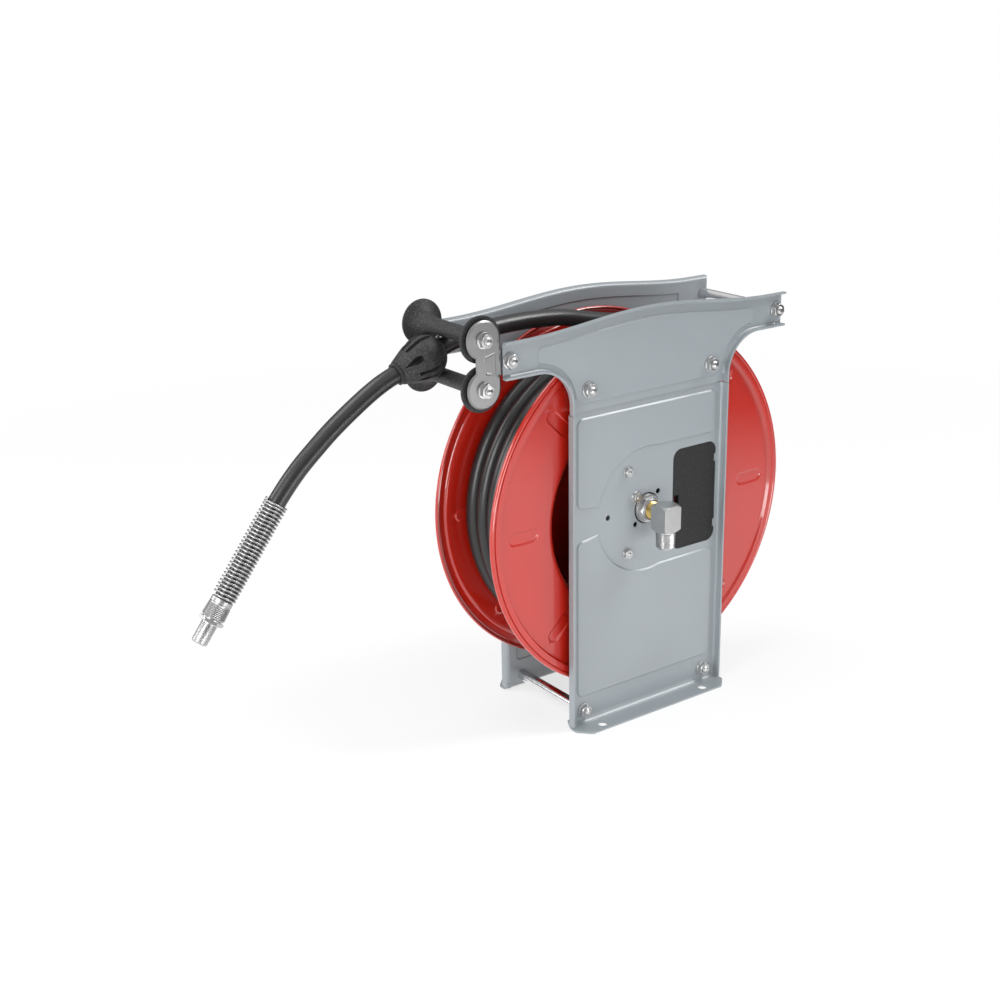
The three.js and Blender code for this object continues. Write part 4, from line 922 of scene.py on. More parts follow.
def hose_along(route, sides):
    inputs = {"Radius": HOSE, "Sides": sides}
    return smooth(grown(TREES["hose"], "hose", FINISHES["hose_rubber"], inputs, line_shape(route)), 50)


class ReelFreeHose(bpy.types.Operator):
    """The hose from the drum over the rollers and through the ball to its end fitting"""

    bl_idname = "hose_reel.free_hose"
    bl_label = "Free Hose"

    def execute(self, context):
        route = smooth_route([*LEAD_ROUTE, *TAIL_ROUTE], 6)
        hose = hose_along(route, context.scene.reel_sizes.hose_sides)
        hand_over(hose, "free_hose", "frame", "hose_rubber", ("hose_lead", "hose_tail"))
        ball = build_ball()
        end = build_end(context.scene.reel_sizes.thread_depth)
        return {"FINISHED"}


def at_ball(made):
    x, y, z = BALL["place"]
    tilt = Matrix.Rotation(math.radians(BALL["dip"]), 4, "X") @ Matrix.Rotation(-math.pi / 2, 4, "Z")
    turn = Matrix.Rotation(math.radians(BALL["turn"]), 4, "X")
    made.data.transform(Matrix.Translation((x, y, z)) @ tilt @ turn)
    return made


def at_tail(made):
    tilt = Matrix.Rotation(TAIL_TURN, 4, "X") @ Matrix.Rotation(math.pi / 2, 4, "Z")
    made.data.transform(Matrix.Translation(TAIL_END) @ tilt)
    return made


def ball_profile():
    """The stop's outline from the rear bore over the ball and down the cone to the collar's lip."""
    radius, collar, reach = BALL["radius"], BALL["collar"], BALL["reach"]
    bore = HOSE + 0.25
    rear = 180 - math.degrees(math.asin((bore + 1) / radius))
    outline = [(-math.sqrt(radius**2 - (bore + 1) ** 2) + 1, bore), *arc(0, 0, radius, rear, 64, 30)]
    cone = [(13, 19.9), (18.5, 17.8), (reach - 3.6, collar + 1.2), (reach - 3.5, collar - 0.1)]
    return [*outline, *cone, (reach - 3, collar), (reach, collar, 0.6), (reach, bore)]


def swept(stations):
    """A solid through cross sections, each a list of four corners."""
    points = [corner for station in stations for corner in station]
    last = len(points) - 4
    faces = [(3, 2, 1, 0), (last, last + 1, last + 2, last + 3), *skin(4, len(stations))]
    return outward(shape("swept", points, faces))


def groove(angle, half, depth):
    """The hollow between two ribs, from the collar back over the ball, at an angle from the half's middle."""
    outline = [(x, r) for x, r, *_ in ball_profile() if -13 < x < BALL["reach"] - 5]
    turn = Matrix.Rotation(math.radians(angle), 3, "X")
    stations = []
    for i, (x, r) in enumerate(outline):
        last = len(outline) - 1
        ease = min(1, (i + 0.3) / 4, (last - i + 0.6) / 1.2)
        low, high = r - depth * ease, r + 4
        foot, mouth = half * 0.7, half * 1.3
        corners = [(x, low, -foot), (x, low, foot), (x, high, mouth), (x, high, -mouth)]
        stations.append([tuple(turn @ Vector(corner)) for corner in corners])
    return swept(stations)


def build_ball():
    """The stop: a ball and cone with a windowed panel on each half, and ribs along the parting plane."""
    whole = smooth(spun([point[:2] for point in ball_profile()], 120))
    grooves = [groove(side * angle, half, 3.4) for side in (-1, 1) for angle, half in ((45, 2.4), (69, 1.8))]
    kite = [(29.5, 0), (15.5, 3.8), (9.5, 2.4), (9.5, -2.4), (15.5, -3.8)]
    window = reflected(slab(kite, 12.2, 30), SWAP_XY)
    hollow = joined([*grooves, window], "hollow")
    inputs = {"Piece": hollow, "Count": 2, "First Angle": 0.0}
    hollows = grown(TREES["wheel"], "hollows", None, inputs)
    bpy.data.objects.remove(hollow)
    combine(whole, [hollows])
    halves, far = [], 60
    for name, low, high in (("left", -far, -FIT / 2), ("right", FIT / 2, far)):
        half = copied(whole)
        combine(half, [block(-far, far, low, high, -far, far)], "INTERSECT")
        softened(at_ball(outward(half)), 0.4, 2, 35)
        halves.append(hand_over(half, f"ball_{name}", "frame", "black_plastic", (f"hose_stop_{name}",)))
    bpy.data.objects.remove(whole)
    return halves


def build_end(depth):
    """The spring guard, the ribbed ferrule, and the hexagon with its male thread."""
    closed = {"Closed Turns": float(GUARD["closed"]), "Closed Pitch": GUARD["closed_pitch"]}
    curls, wound, wire = GUARD["curls"], GUARD["radius"], GUARD["wire"]
    guard = coil(2 - GUARD["length"], -1, curls, wound, wound, wire, 10, **closed)
    guard = hand_over(at_tail(guard), "guard_spring", "frame", "zinc", ("spring_guard",), "spring_wire")
    radius, length = FERRULE["radius"], FERRULE["length"]
    skirt, low = radius - 0.9, radius - 1.6
    corners = [(0, 0), (length, 0), (length, radius - 1.2, 0.3), (length - 0.6, skirt, 0.3)]
    corners += [(5.2, low), (4.8, skirt, 0.3), (1, skirt, 0.5), (0, low, 0.4)]
    sleeve = smooth(spun(rounded(corners, 3), 72), 35)
    ribs = thread(5.8, length - 1, radius - 0.5, radius + 0.1, 1.6)
    sleeve = at_tail(joined([sleeve, ribs]))
    hand_over(sleeve, "ferrule_sleeve", "frame", "zinc", ("hose_ferrule",), "cut_rings")
    start = length + FIT
    neck = start + END_HEX["length"]
    end = neck + END_THREAD["length"]
    crest, bore = END_THREAD["radius"], END_THREAD["bore"]
    root = crest - depth * 0.7
    collar = rod(start, start + 1.2, 9.4, 48)
    nut = softened(joined([collar, hexagon(start + 1, neck, END_HEX["flats"])]), 0.3, 2)
    outline = [(neck - 1, 0), (end - 16, 0), (end - 16, bore), (end - 0.6, bore), (end, bore + 0.6)]
    outline += [(end, root - 0.9), (end - 1.2, root), (neck - 1, root)]
    pipe = smooth(spun(outline, 72), 35)
    ridge = thread(neck + 0.8, end - 1, crest, crest - 0.25, 1.2)
    tip = at_tail(joined([nut, pipe, ridge]))
    hand_over(tip, "end_thread", "frame", "steel", ("hose_end_fitting",))
    return [guard, sleeve, tip]


# ---------------------------------------------------------------- frame sheets
def stood(made):
    """Swaps X and Z, for shapes that are drawn across the column and run up it."""
    return reflected(made, SWAP_XZ)


def channel_section(half, x0, radius, reach):
    return rounded([(-half, x0, radius), (half, x0, radius), (half, reach), (-half, reach)])


def land_end(height):
    """The angle at which the round land about the hub reaches a height."""
    return math.degrees(math.asin((height - AXLE_Z) / HUB_LAND))


def column_panels():
    """The two pressed panels of a column, which stop at the round land about the hub."""
    side, soft, steps = 94.5, 8, 28
    bottom, front, back = 32, 212, 159.5
    lower = rounded([(-side, front, soft), (-side, bottom, soft), (side, bottom, soft), (side, back, soft)])
    lower += arc(0, AXLE_Z, HUB_LAND, land_end(back + 1), -180 - land_end(front), steps)
    top, front, back = 340, 240.6, 294
    upper = rounded([(side, back, soft), (side, top, soft), (-side, top, soft), (-side, front, soft)])
    upper += arc(0, AXLE_Z, HUB_LAND, 180 - land_end(front), land_end(back - 1), steps)
    return lower, upper


def press(sheet, outline, inner):
    """Presses a panel outwards: the raised face and the hollow behind it."""
    face = inner + SHEET + RISE
    raised = stack([(inner + 1, outline), (inner + SHEET, outline), (face, inset(outline, RISE))])
    back = inset(outline, SHEET + RISE)
    hollow = stack([(inner - 1, inset(outline, 1)), (inner, inset(outline, SHEET)), (face - SHEET, back)])
    combine(sheet, [raised], "UNION")
    return combine(sheet, [hollow])


def hole(y, z, radius, sides=40):
    """A tool that drills through the whole reel along X."""
    return moved(rod(-100, 100, radius, sides), 0, y, z)


def window_outline(gap):
    """The latch window with its two tabs, or what fills it with a gap all round."""
    front, back, bottom, top, corner, half = (
        WINDOW[key] for key in ("front", "back", "bottom", "top", "corner", "tab_half")
    )
    tabs = []
    for height in WINDOW["tabs"]:
        low, high, deep = height - half - gap, height + half + gap, back - 2 - gap
        tabs += [(back - gap, low), (deep, low, 0.5), (deep, high, 0.5), (back - gap, high)]
    corners = [(front + gap, bottom + gap, corner), (back - gap, bottom + gap, corner), *tabs]
    corners += [(back - gap, top - gap, corner), (front + gap, top - gap, corner)]
    return rounded(corners, 7)


def column_sheet(is_inlet):
    """A column plate: a channel on a bent foot, with two pressed panels, holes and the latch window."""
    bend = 7  # inner radius of the foot's bend
    half = COLUMN_HALF
    outer = stood(slab(channel_section(half, INNER_X, BEND, FLANGE_X), 3.2, COLUMN_TOP))
    inside = channel_section(half - SHEET, OUTER_X, BEND - SHEET, FLANGE_X + 1)
    trough = stood(slab(inside, -1, COLUMN_TOP + 1))
    relief = block(INNER_X - 1, FLANGE_X + 1, BEND - half, half - BEND, -1, bend + SHEET)
    sheet = combine(outer, [trough, relief])
    centre = (OUTER_X + bend, SHEET + bend)
    strip = [
        (OUTER_X, bend + SHEET + 0.01),
        *arc(*centre, bend, 180, 270, 10),
        (FOOT_X, SHEET),
        (FOOT_X, 0),
        *arc(*centre, bend + SHEET, 270, 180, 10),
    ]
    foot = outward(reflected(slab(strip, -half, half), SWAP_XY))
    cut = 13  # of the foot's outer corners
    clip = [(-half, 50), (half, 50), (half, FOOT_X - cut, 5), (half - cut, FOOT_X, 5)]
    clip += [(cut - half, FOOT_X, 5), (-half, FOOT_X - cut, 5)]
    combine(foot, [outward(stood(slab(rounded(clip), -1, 20)))], "INTERSECT")
    tongue = block(INNER_X, OUTER_X, -96, 96, COLUMN_TOP - 5, 388)
    combine(sheet, [foot, tongue], "UNION")
    for outline in column_panels():
        press(sheet, outline, INNER_X)
    holes = []
    for side in (-1, 1):
        holes.append(hole(side * FOOT_ROD[0], FOOT_ROD[1], STUD + FIT))
        holes.append(hole(side * ARM_BOLT[0], ARM_BOLT[1], STUD + FIT))
        bolt = moved(rod(-5, 5, FOOT_HOLE["radius"], 40), 0, side * FOOT_HOLE["y"], FOOT_HOLE["x"])
        holes.append(outward(stood(bolt)))
    if is_inlet:
        holes.append(hole(0, AXLE_Z, 17, 72))
        spare = [(-52.9, 0), *HUB_TAPS]
        holes += [hole(y, AXLE_Z + rise, 3, 24) for y, rise in spare]
        holes.append(hole(HUB_SCREW[0], AXLE_Z + HUB_SCREW[1], SCREW_HOLE, 24))
        holes += [hole(LATCH_BOLT[0], AXLE_Z + side * LATCH_BOLT[1], SCREW_HOLE, 24) for side in (-1, 1)]
        holes.append(slab(window_outline(0), 0, 100))
    else:
        holes.append(hole(0, AXLE_Z, 8.3, 48))
    return combine(sheet, holes)


def arm_top(y):
    share = min(abs(y) / 165, 1)
    return ARM_END_TOP + 11.5 * math.cos(share * math.pi / 2) ** 2


def arm_top_points(half, below, steps):
    spots = [half - 2 * half * i / steps for i in range(steps + 1)]
    return [(y, arm_top(y) - below) for y in spots]


def arm_sheet():
    """An arm: a channel with a crowned top and swept ends, and a pressed panel that follows it."""
    sweep = 41
    turn, low, seam = COLUMN_HALF + sweep, ARM_BOTTOM - sweep, COLUMN_TOP + 0.6
    outline = [
        (-COLUMN_HALF, seam),
        (COLUMN_HALF, seam),
        *arc(turn, low, sweep, 180, 90, 16),
        (ARM_HALF, ARM_BOTTOM),
        *arm_top_points(ARM_HALF, 0, 40),
        (-ARM_HALF, ARM_BOTTOM),
        *arc(-turn, low, sweep, 90, 0, 16),
    ]
    sheet = rolled(outline, OUTER_X, FLANGE_X, BEND)
    trough = rolled(inset(outline, SHEET), ARM_X, FLANGE_X + 1, BEND - SHEET)
    floor, head = ARM_BOTTOM + SHEET, ARM_END_TOP - SHEET
    foot_half, deep = COLUMN_HALF - SHEET, 9
    spans = [(-ARM_HALF - 1, deep - ARM_HALF, floor, head), (ARM_HALF - deep, ARM_HALF + 1, floor, head)]
    spans.append((-foot_half, foot_half, seam - 1, seam + deep))
    mouths = [block(ARM_X, FLANGE_X + 1, *span) for span in spans]
    combine(sheet, [trough])
    combine(sheet, mouths)
    reach, bottom, side = 49, 355.7, 143.5
    start = math.degrees(math.acos((side - turn) / reach))
    stop = 180 - math.degrees(math.asin((bottom + 5 - low) / reach))
    panel = [
        (-88, bottom),
        (88, bottom),
        *arc(turn, low, reach, stop, start, 12),
        *arm_top_points(side, 12.5, 32),
        *arc(-turn, low, reach, 180 - start, 180 - stop, 12),
    ]
    panel = [(y, z, 4) if abs(y) > side - 0.01 else (y, z) for y, z in panel]
    press(sheet, rounded(panel, 5), OUTER_X)
    holes = [hole(s * y, z, STUD + FIT) for s in (-1, 1) for y, z in (ARM_ROD, ARM_BOLT)]
    return combine(sheet, holes)


class ReelFrameSheets(bpy.types.Operator):
    """The two column plates and the two arms, folded and pressed from sheet"""

    bl_idname = "hose_reel.frame_sheets"
    bl_label = "Frame Sheets"

    def execute(self, context):
        edge = context.scene.reel_sizes.edge
        arm = arm_sheet()
        pieces = [
            (column_sheet(True), "inlet_column"),
            (mirrored_away(column_sheet(False)), "spring_column"),
            (mirrored(arm), "spring_arm"),
            (arm, "inlet_arm"),
        ]
        for made, name in pieces:
            softened(outward(made), edge, 3, 28, hardened=True)
            hand_over(made, name, "frame", "frame_paint", (f"{name}_plate",))
        return {"FINISHED"}


def mirrored_away(made):
    """Moves a shape to the other side."""
    twin = mirrored(made)
    bpy.data.objects.remove(made)
    return twin


# ---------------------------------------------------------------- fasteners and rods
def washer_nut(flats, high, washer, thick, stud, stud_end):
    """A washer, a hexagon nut and the threaded stud that comes through it, seated on x = 0."""
    plate = smooth(ring(0, thick, washer, stud - 1, 0.35, 56), 40)
    top = thick + high
    body = softened(hexagon(thick, top, flats), 0.3, 2)
    low, wide = stud - 1, stud + 0.9
    dish = smooth(spun([(top - 1, low), (top + 0.02, low), (top + 0.02, wide), (top - 1, wide)], 40), 40)
    core = smooth(rod(-1, stud_end, stud - 0.5, 40, 0.5), 35)
    crest = thread(top - 0.5, stud_end - 0.5, stud, stud, 1.0)
    return joined([plate, body, dish, core, crest], "nut")


def low_head(radius, high):
    """The low round head of a sheet bolt on the inner face, seen from x = 0 inwards."""
    corners = [(-high, 0), (0.5, 0), (0.5, radius - 0.4), (0, radius, 0.2), (-high, radius - 0.8, 0.7)]
    return smooth(spun(rounded(corners, 3), 48), 40)


class ReelFasteners(bpy.types.Operator):
    """Nuts, washers, bolt heads and tie rods"""

    bl_idname = "hose_reel.fasteners"
    bl_label = "Fasteners and Rods"

    def execute(self, context):
        nuts, heads, inner = self.places()
        nut = washer_nut(13, 5, 8, 1.6, STUD, 9.6)
        head = washer_nut(13, 4.6, 8, 1.6, STUD, 6.9)
        low = low_head(8, 2.3)
        bolts = ("arm_bolt_front", "arm_bolt_rear", "bracket_bolt")
        sides = [f"{side}_{bolt}" for side in ("inlet", "spring") for bolt in bolts]
        scattered(nut, nuts, "nuts", ("foot_rod_nut_front", "foot_rod_nut_rear", "arm_rod_nut"), 3)
        scattered(head, heads, "rod_heads", ("upper_roller_nut", "lower_roller_nut"), 5)
        scattered(low, inner, "low_heads", sides, 1)
        for piece in (nut, head, low):
            bpy.data.objects.remove(piece)
        for name, (y, z), reach in (
            ("foot_tie_rod_front", (-FOOT_ROD[0], FOOT_ROD[1]), INNER_X),
            ("foot_tie_rod_rear", FOOT_ROD, INNER_X),
            ("arm_tie_rod", ARM_ROD, OUTER_X),
        ):
            bar = moved(smooth(rod(-reach, reach, 6.2, 64, 0.5), 40), 0, y, z)
            hand_over(bar, f"{name}_tube", "frame", "bright_rod", (name,))
        return {"FINISHED"}

    def places(self):
        """Where the nuts, the far heads and the inner low heads sit."""
        nuts, heads, inner = [], [], []
        for side in (-1, 1):
            foot = (side * FOOT_ROD[0], FOOT_ROD[1])
            nuts.append((OUTER_X, *foot))
            heads.append((-OUTER_X, *foot))
            bolt = (side * ARM_BOLT[0], ARM_BOLT[1])
            for face in (-1, 1):
                nuts.append((face * (ARM_X + RISE), *bolt))
                inner.append((face * INNER_X, *bolt))
        nuts.append((ARM_X, *ARM_ROD))
        heads.append((-ARM_X, *ARM_ROD))
        for face in (-1, 1):
            nuts.append((face * ARM_X, -ARM_ROD[0], ARM_ROD[1]))
            inner.append((face * INNER_X, -ARM_ROD[0], ARM_ROD[1]))
        for height in ROLLERS.values():
            nuts.append((OUTER_X, ROLLER_Y, height))
            heads.append((-OUTER_X, ROLLER_Y, height))
        return nuts, heads, inner


# ---------------------------------------------------------------- hose guide
class ReelHoseGuide(bpy.types.Operator):
    """Two plastic rollers on their axles between two brushed brackets"""

    bl_idname = "hose_reel.hose_guide"
    bl_label = "Hose Guide"

    def execute(self, context):
        for place, height in ROLLERS.items():
            self.roller(place, height)
        bracket = self.bracket()
        for made, side in ((mirrored(bracket), "spring"), (bracket, "inlet")):
            softened(made, 0.5, 3, 28)
            hand_over(made, f"{side}_bracket", "frame", "stainless", (f"{side}_roller_bracket",))
        return {"FINISHED"}

    def roller(self, place, height):
        """A spool that flares to its flanges, and its pin with a collar at each bracket."""
        half, body, flange = 51, 8, 23
        near = [(22, body), (30, body + 0.3), (36, body + 1.5), (40, body + 3.3), (43.4, body + 6)]
        near += [(46, body + 9.6), (47.6, body + 12.6)]
        near += [(48.3, flange - 1.2), (48.9, flange - 0.2), (49.6, flange), (half - 0.6, flange)]
        near += [(half, flange - 0.6), (half, 14), (half - 1.2, 13), (half - 1.2, 9), (half, 8)]
        far = [(-x, r) for x, r in reversed(near)]
        bore = [(half, STUD + 0.25), (-half, STUD + 0.25)]
        spool = spun([*far, *near, *bore], 96)
        smooth(spool, 32)
        moved(spool, 0, ROLLER_Y, height)
        hand_over(spool, f"{place}_spool", f"{place}_roller", "black_plastic", (f"{place}_roller",))
        bar = smooth(rod(-OUTER_X, OUTER_X, STUD, 40), 40)
        ends = [(-INNER_X, -51.3), (51.3, INNER_X)]
        collars = [smooth(ring(*end, 6.5, STUD - 0.5, 0.3, 40), 40) for end in ends]
        pin = moved(joined([bar, *collars]), 0, ROLLER_Y, height)
        hand_over(pin, f"{place}_pin", "frame", "zinc", (f"{place}_roller_axle",))

    def bracket(self):
        """A dumbbell plate with a sloping rim, a pressed open outline and a tab back to the arm."""
        end, waist = 19, 8.5
        upper, lower = ROLLERS["upper"], ROLLERS["lower"]
        neck = math.degrees(math.acos(-waist / end))
        outline = [*arc(ROLLER_Y, upper, end, 0, 360 - neck, 44), *arc(ROLLER_Y, lower, end, neck, 360, 44)]
        layers = [(x, inset(outline, d)) for x, d in ((INNER_X, 0.0), (OUTER_X - 1.4, 0.0), (OUTER_X, 1.6))]
        plate = stack(layers)
        middle = (upper + lower) / 2
        tab = block(INNER_X, OUTER_X, ROLLER_Y, -164, middle - 12, middle + 12)
        combine(plate, [tab], "UNION")
        pressed = [(0.5, 3.8), (0.6, 7.2), (11.8, 9.8), (12.2, -11.1), (2.2, -8.3)]
        spots = [Vector((ROLLER_Y + y, middle + z)) for y, z in pressed]
        for here, there in zip(spots, spots[1:]):
            across = Vector((here.y - there.y, there.x - here.x)).normalized()
            layers = []
            for x, half in ((OUTER_X - 0.5, 1.4), (OUTER_X, 1.3), (OUTER_X + 0.7, 0.5)):
                side = across * half
                line = [tuple(spot) for spot in (here - side, there - side, there + side, here + side)]
                layers.append((x, line))
            combine(plate, [stack(layers)], "UNION")
        places = [(ROLLER_Y, upper), (ROLLER_Y, lower), (-ARM_ROD[0], ARM_ROD[1])]
        return outward(combine(plate, [hole(*place, STUD + FIT) for place in places]))


# ---------------------------------------------------------------- axle and inlet
class ReelInlet(bpy.types.Operator):
    """The fixed axle, its nuts, the threaded pipe and the square elbow"""

    bl_idname = "hose_reel.inlet"
    bl_label = "Axle and Inlet"

    def execute(self, context):
        end, bore, flange, root = -OUTER_X - 9.6, 5, 26, 7.6
        profile = [(end, 0), (12, 0), (12, bore), (62, bore), (62, 10), (INNER_X, 10), (INNER_X, flange)]
        profile += [(50, flange), (50, 12), (-INNER_X, 12), (-INNER_X, root), (end + 1, root), (end, root - 1)]
        shaft = spun(profile, 96)
        combine(shaft, [moved(rod(49, 55, 3.4, 24), 0, y, z) for y, z in HUB_TAPS])
        shaft = smooth(outward(shaft), 35)
        crest = thread(end + 1, -OUTER_X, 8, 8, 1.5)
        # the near-black finish also stands in for the shade inside the spare holes of the inlet column
        on_axle(joined([shaft, crest]), "axle_shaft", "frame", "steel", ("axle",), "black_oxide")
        seat = OUTER_X + 1.6
        plate = smooth(ring(OUTER_X, seat, 13.6, 8.1, 0.3), 40)
        nut = mirrored_away(joined([plate, softened(hexagon(seat, OUTER_X + 8.6, 24), 0.4, 2)]))
        on_axle(nut, "end_nut", "frame", "zinc", ("axle_end_nut",))
        rings = [(INNER_X + FIT, 56.9, 15.5), (56.9, 57.7, 14.2), (57.7, 58.9, 15.5)]
        lock = joined([smooth(ring(x0, x1, r, 10.2, 0.25, 72), 40) for x0, x1, r in rings])
        on_axle(lock, "lock_ring", "frame", "zinc", ("axle_lock_ring",))
        big = softened(hexagon(58.9, 63.6, 24), 0.4, 2)
        cone = smooth(ring(63.4, 66, 11.3, 10.2, 0.4, 72), 40)
        on_axle(joined([big, cone]), "hub_nut", "frame", "zinc", ("axle_nut",))
        stub = [(62.3, 5), (80.5, 5), (80.5, 6), (75.5, 6), (75.5, 8.6), (74.9, 9.0), (62.3, 9.0)]
        pipe = smooth(spun(stub, 64), 35)
        crest = thread(62.8, 75.2, 9.7, 9.7, 1.8)
        on_axle(joined([pipe, crest]), "inlet_pipe", "frame", "brass", ("inlet_nipple",))
        self.elbow(context.scene.reel_sizes.thread_depth)
        self.small_bolts()
        return {"FINISHED"}

    def elbow(self, depth):
        """A square block whose corners were turned off at both ends, on a tapered thread."""
        x, half, top, bottom, bore = 86.5, 11, 12, -16.8, 6.3
        wide, narrow = 10.48, 9.85  # crest radii of the tapered thread
        corner, turned = half * math.sqrt(2) + 1, 11.35
        drop = (corner - turned) * CORNER_SLOPE

        def upright(profile):
            made = spun([(z, r) for r, z in profile], 96)
            made.data.transform(Matrix.Translation((x, 0, 0)) @ Matrix.Rotation(-math.pi / 2, 4, "Y"))
            return made

        body = block(x - half, x + half, -half, half, bottom, top)
        lathe = [(0, bottom), (turned, bottom), (corner, bottom + drop)]
        lathe += [(corner, top - drop), (turned, top), (0, top)]
        combine(body, [upright(lathe)], "INTERSECT")
        combine(body, [rod(x - half - 1, x - half + 5, bore, 40)])
        softened(outward(body), 0.6, 3, 22)
        end = bottom - 19
        tip, root = narrow - depth, wide - depth
        stub = [(bore, end), (tip - 0.5, end), (tip, end + 0.8), (root, bottom - 2)]
        tube = smooth(upright([*stub, (root, bottom + 1), (bore, bottom + 1)]), 35)
        plug = [(0, bottom + 2), (bore, bottom + 2), (bore, bottom - 4), (0, bottom - 4)]
        inner = smooth(upright(plug), 35)
        crest = thread(-bottom + 1.2, -end - 0.8, wide, narrow, 1.81)
        crest.data.transform(Matrix.Translation((x, 0, 0)) @ Matrix.Rotation(math.pi / 2, 4, "Y"))
        on_axle(joined([body, tube, inner, crest]), "elbow_block", "frame", "steel", ("inlet_elbow",))

    def small_bolts(self):
        """The hub screw and the two bolts of the latch housing."""
        head = joined([
            smooth(ring(0, 1, 5.9, 2, 0.3, 40), 40),
            softened(hexagon(0.6, 4.6, 9.6), 0.15, 1),
            smooth(rod(4.2, 5.2, 2.2, 32, 0.3), 30),
        ])
        places = [(OUTER_X, LATCH_BOLT[0], AXLE_Z + s * LATCH_BOLT[1]) for s in (-1, 1)]
        scattered(head, places, "latch_bolts", ("latch_bolt_upper", "latch_bolt_lower"), 2)
        hub = [(OUTER_X, HUB_SCREW[0], AXLE_Z + HUB_SCREW[1])]
        scattered(head, hub, "hub_bolt", ("hub_screw",), 4)
        bpy.data.objects.remove(head)


# ---------------------------------------------------------------- latch
class ReelLatch(bpy.types.Operator):
    """The black housing that fills the window"""

    bl_idname = "hose_reel.latch"
    bl_label = "Latch Housing"

    def execute(self, context):
        corners = [(-66, -62, 14), (100, -62, 14), (100, 74, 14), (-66, 74, 14)]
        plate = slab(rounded(corners), 50.3, 54)
        pad = moved(slab(window_outline(FIT), 50.5, OUTER_X - 0.6), 0, 0, -AXLE_Z)
        boss = moved(rod(41.8, 51, 7.5, 40), 0, -26, 56)
        post = block(37, 51, -31, -21, 64, 70)
        y, z = LATCH_BOLT
        bolts = [moved(rod(46.3, 54, 7, 40), 0, y, s * z) for s in (-1, 1)]
        combine(plate, [pad, boss, post, *bolts], "UNION")
        cuts = [
            rod(0, 100, 26.3, 64),
            block(0, 100, 38.75, 45.25, -5.05, 4.45),
            moved(rod(0, 51.8, 2.65, 24), 0, -26, 56),
            *[moved(rod(0, 100, 3.15, 24), 0, y, s * z) for s in (-1, 1)],
        ]
        combine(plate, cuts)
        softened(outward(plate), 0.4, 2)
        on_axle(plate, "housing", "frame", "black_plastic", ("latch_housing",), "housing")
        return {"FINISHED"}


# ---------------------------------------------------------------- drum
def disc_profile():
    """The disc's outer face from the mouth, where it curls in, to the rolled rim, as (x, radius)."""
    face, curl = DISC_INNER + 1, 8.0
    outline = arc(face - curl, 124, curl, -90, 0, 12)
    outline += [(face, 130), (face, 136)]
    for first, pitch, count in ((137, 0.7, 14), (147.5, 2.2, 8), (165, 0.7, 14)):
        outline += [(face, first + pitch * i) for i in range(count)]
    step = [(0, 180.5), (0, 184.2), (0.12, 184.6), (2.88, 186.2), (3, 186.6), (3, 192.2)]
    outline += [(face + x, r) for x, r in step]
    outline += arc(face + 0.3, 194.9, 2.6, -55, 150, 16)
    return outline


def disc_shape(depth, steps):
    """A pressed disc with its slots, as one closed sheet turned about the axle."""
    outline = disc_profile()
    normals = []
    for i, (x, r) in enumerate(outline):
        before, after = outline[max(i - 1, 0)], outline[min(i + 1, len(outline) - 1)]
        along = Vector((after[0] - before[0], after[1] - before[1])).normalized()
        normals.append((along.y, -along.x))
    back = [(x - nx, r - nr) for (x, r), (nx, nr) in zip(outline, normals)]
    section = outline + back[::-1]
    apart, fine, span = 45, 0.25, 14  # degrees between slots, degrees of a fine step, fine steps to a side
    reach = fine * span
    angles = []
    for slot in range(8):
        centre = apart * slot
        angles += [centre + a * fine for a in range(-span, span + 1)]
        rest = apart - 2 * reach
        angles += [centre + reach + rest * (i + 1) / (steps + 1) for i in range(steps)]
    points = []
    for angle in angles:
        a = math.radians(angle)
        near = math.radians(apart * round(angle / apart))
        for x, r in section:
            across, along = r * math.sin(a - near), r * math.cos(a - near) - WOUND
            past = math.hypot(across, max(abs(along) - DISC_SLOT["reach"], 0)) - DISC_SLOT["half"]
            share = min(1, max(0, 0.5 - past / DISC_SLOT["slope"]))
            sink = depth * share * share * (3 - 2 * share)
            points.append((x - sink, r * math.cos(a), r * math.sin(a)))
    return outward(shape("disc", points, skin(len(section), len(angles), closed=True)))


class ReelDrum(bpy.types.Operator):
    """The two pressed discs, the barrel, its web and the spring case"""

    bl_idname = "hose_reel.drum"
    bl_label = "Drum"

    def execute(self, context):
        sizes = context.scene.reel_sizes
        disc = smooth(disc_shape(sizes.slot_depth, sizes.disc_segments), 50)
        neck = DISC_INNER + 1 - 8
        tube = [(-neck, BARREL - 1), (neck, BARREL - 1), (neck, BARREL), (-neck, BARREL)]
        plate = [(-4, 14), (-4, 115.7), (-2.2, 115.7), (-2.2, 14)]
        case = [(-44, 16.3), (-44, 60, 2), (-43, 64, 2), (-43, 90, 2), (-44, 94, 2), (-44, 102, 3)]
        case += [(-4, 102), (-4, 100.4), (-42.4, 100.4), (-42.4, 16.3)]
        for made, name, slot, node in (
            (mirrored(disc), "spring_disc_sheet", "drum_paint", "spring_disc"),
            (disc, "inlet_disc_sheet", "drum_paint", "inlet_disc"),
            (smooth(spun(tube, 144), 40), "barrel_sheet", "drum_paint", "drum_barrel"),
            (smooth(spun(plate, 128), 40), "web_plate", "drum_paint", "hub_web"),
            (smooth(spun(rounded(case, 4), 128), 40), "spring_cover", "steel", "spring_case"),
        ):
            on_axle(made, name, "drum", slot, (node,))
        return {"FINISHED"}


# ---------------------------------------------------------------- wound hose
def eased(value):
    value = max(0.0, min(1.0, value))
    return value * value * (3 - 2 * value)


